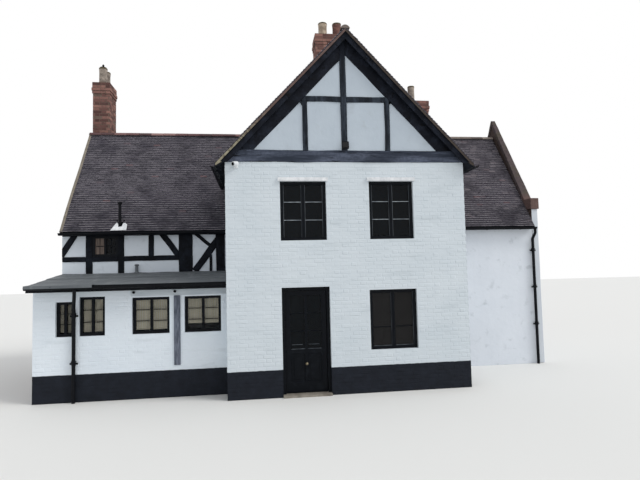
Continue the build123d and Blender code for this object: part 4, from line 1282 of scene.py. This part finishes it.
def aged_nodes():
    """Timbers, plaster, walls and coping, uneven as handwork."""
    fine, even, coarse = (0.12, 0, 0.12), (0.1, 0, 0.1), (0.2, 0, 0.2)
    oak, frame_nodes = "black_timber", "frame_plates frame_posts frame_rails frame_braces"
    walls = "right_front_wall right_rear_wall left_rear_wall"
    for nodes, look, slot, wander, grain, step, ease, reshape in (
        ("gable_tie_beams", "timber_across", oak, 0.016, 1.6, fine, 0.008, None),
        ("gable_rafters", "timber_rafter", oak, 0.012, 1.4, fine, 0.008, slimmer_rafters),
        ("gable_king_posts", "timber_upright", oak, 0.016, 1.6, fine, 0.008, None),
        ("gable_collars gable_studs", "timber_upright", oak, 0.016, 1.6, fine, 0.008, slimmer_rafters),
        ("gable_panels", "plaster", "plaster", 0.010, 2.2, even, 0.0, slimmer_rafters),
        ("bargeboards", "timber_rafter", oak, 0.004, 1.2, coarse, 0.003, None),
        ("purlin_ends", "timber_rafter", oak, 0.003, 3.0, (0.1, 0.05, 0.1), 0.006, None),
        (frame_nodes, "timber_frame", oak, 0.014, 2.2, fine, 0.008, None),
        ("frame_panels", "frame_plaster", "plaster", 0.008, 2.2, even, 0.0, None),
        (walls, "render", "render", 0.010, 1.2, coarse, 0.0, None),
        ("parapet_gable", "parapet", "render", 0.008, 1.2, (0, 0.2, 0.2), 0.012, leaning_parapet),
        ("parapet_coping", "coping", "red_brick", 0.008, 4.0, (0, 0.09, 0), 0.008, leaning_parapet),
        ("downpipes", "black_iron", "black_iron", 0.0, 1.0, (0, 0, 0), 0.0, slanted_neck),
        ("party_wall", "stack_brick", "red_brick", 0.004, 1.2, (0, 0.3, 0.3), 0.0, None),
    ):
        for node in nodes.split():
            aged(node, look, wander, grain, step, ease, reshape)


wing_brickwork()
lean_to_brickwork()
chimney_brickwork()
wing_tiles()
range_tiles()
ridges()
mortar_fillets()
sashes()
glazing()
door_details()
lean_to_covering()
pots()
gutter_brackets()
downpipe_collars()
flue()
wall_fittings()
dress_nodes()
brace_heads()
aged_nodes()


# Floor, light and camera
def stage_floor():
    """A plain pale floor."""
    reach = 60
    corners = [(-reach, -reach, 0), (reach, -reach, 0), (reach, reach, 0), (-reach, reach, 0)]
    mesh = bpy.data.meshes.new("floor")
    mesh.from_pydata(corners, [], [(0, 1, 2, 3)])
    floor = bpy.data.objects.new("floor", mesh)
    bpy.context.scene.collection.objects.link(floor)
    Surface("floor", 0.9, 0.1).coat((226, 226, 224))
    mesh.materials.append(looks["floor"])


def studio_light():
    """An even pale world, white to the eye, and one soft sun."""
    world = bpy.data.worlds.new("studio")
    bpy.context.scene.world = world
    world.use_nodes = True
    tree = Tree(world.node_tree)
    rays = tree.nodes.new("ShaderNodeLightPath").outputs
    seen = tree.math("MAXIMUM", rays["Is Camera Ray"], rays["Is Glossy Ray"])
    seen = tree.math("MAXIMUM", seen, rays["Is Transmission Ray"])
    light = tree.nodes["Background"]
    light.inputs["Color"].default_value = (0.96, 0.975, 1.0, 1)
    light.inputs["Strength"].default_value = 0.80
    backdrop = tree.nodes.new("ShaderNodeBackground")
    backdrop.inputs["Color"].default_value = (1, 1, 1, 1)
    backdrop.inputs["Strength"].default_value = 1.0
    blend = tree.node("ShaderNodeMixShader", {0: seen, 1: light.outputs[0], 2: backdrop.outputs[0]})
    tree.feed(tree.nodes["World Output"].inputs["Surface"], blend.outputs[0])
    sun = bpy.data.lights.new("soft_sun", "SUN")
    sun.energy = 1.5
    sun.angle = radians(25)
    sun.color = (1.0, 0.98, 0.95)
    lamp = bpy.data.objects.new("soft_sun", sun)
    bpy.context.scene.collection.objects.link(lamp)
    lamp.rotation_mode = "QUATERNION"
    lamp.rotation_quaternion = Vector((-0.70, 0.30, -0.65)).to_track_quat("-Z", "Y")


def photo_camera():
    """The camera at the photograph's place and angle."""
    yaw, pitch, roll = radians(7.405), radians(3.341), radians(1.367)
    ahead = Vector((sin(yaw) * cos(pitch), cos(yaw) * cos(pitch), sin(pitch)))
    level = Vector((cos(yaw), -sin(yaw), 0))
    above = level.cross(ahead)
    right = level * cos(roll) - above * sin(roll)
    top = above * cos(roll) + level * sin(roll)
    lens = bpy.data.cameras.new("camera")
    lens.lens = 27.468
    lens.sensor_width = 36.0
    camera = bpy.data.objects.new("camera", lens)
    bpy.context.scene.collection.objects.link(camera)
    turn = Matrix((right, top, -ahead)).transposed()
    camera.matrix_world = Matrix.Translation((-1.816, -9.616, 2.434)) @ turn.to_4x4()
    bpy.context.scene.camera = camera


stage_floor()
studio_light()
photo_camera()
bpy.context.scene.view_settings.view_transform = "Standard"
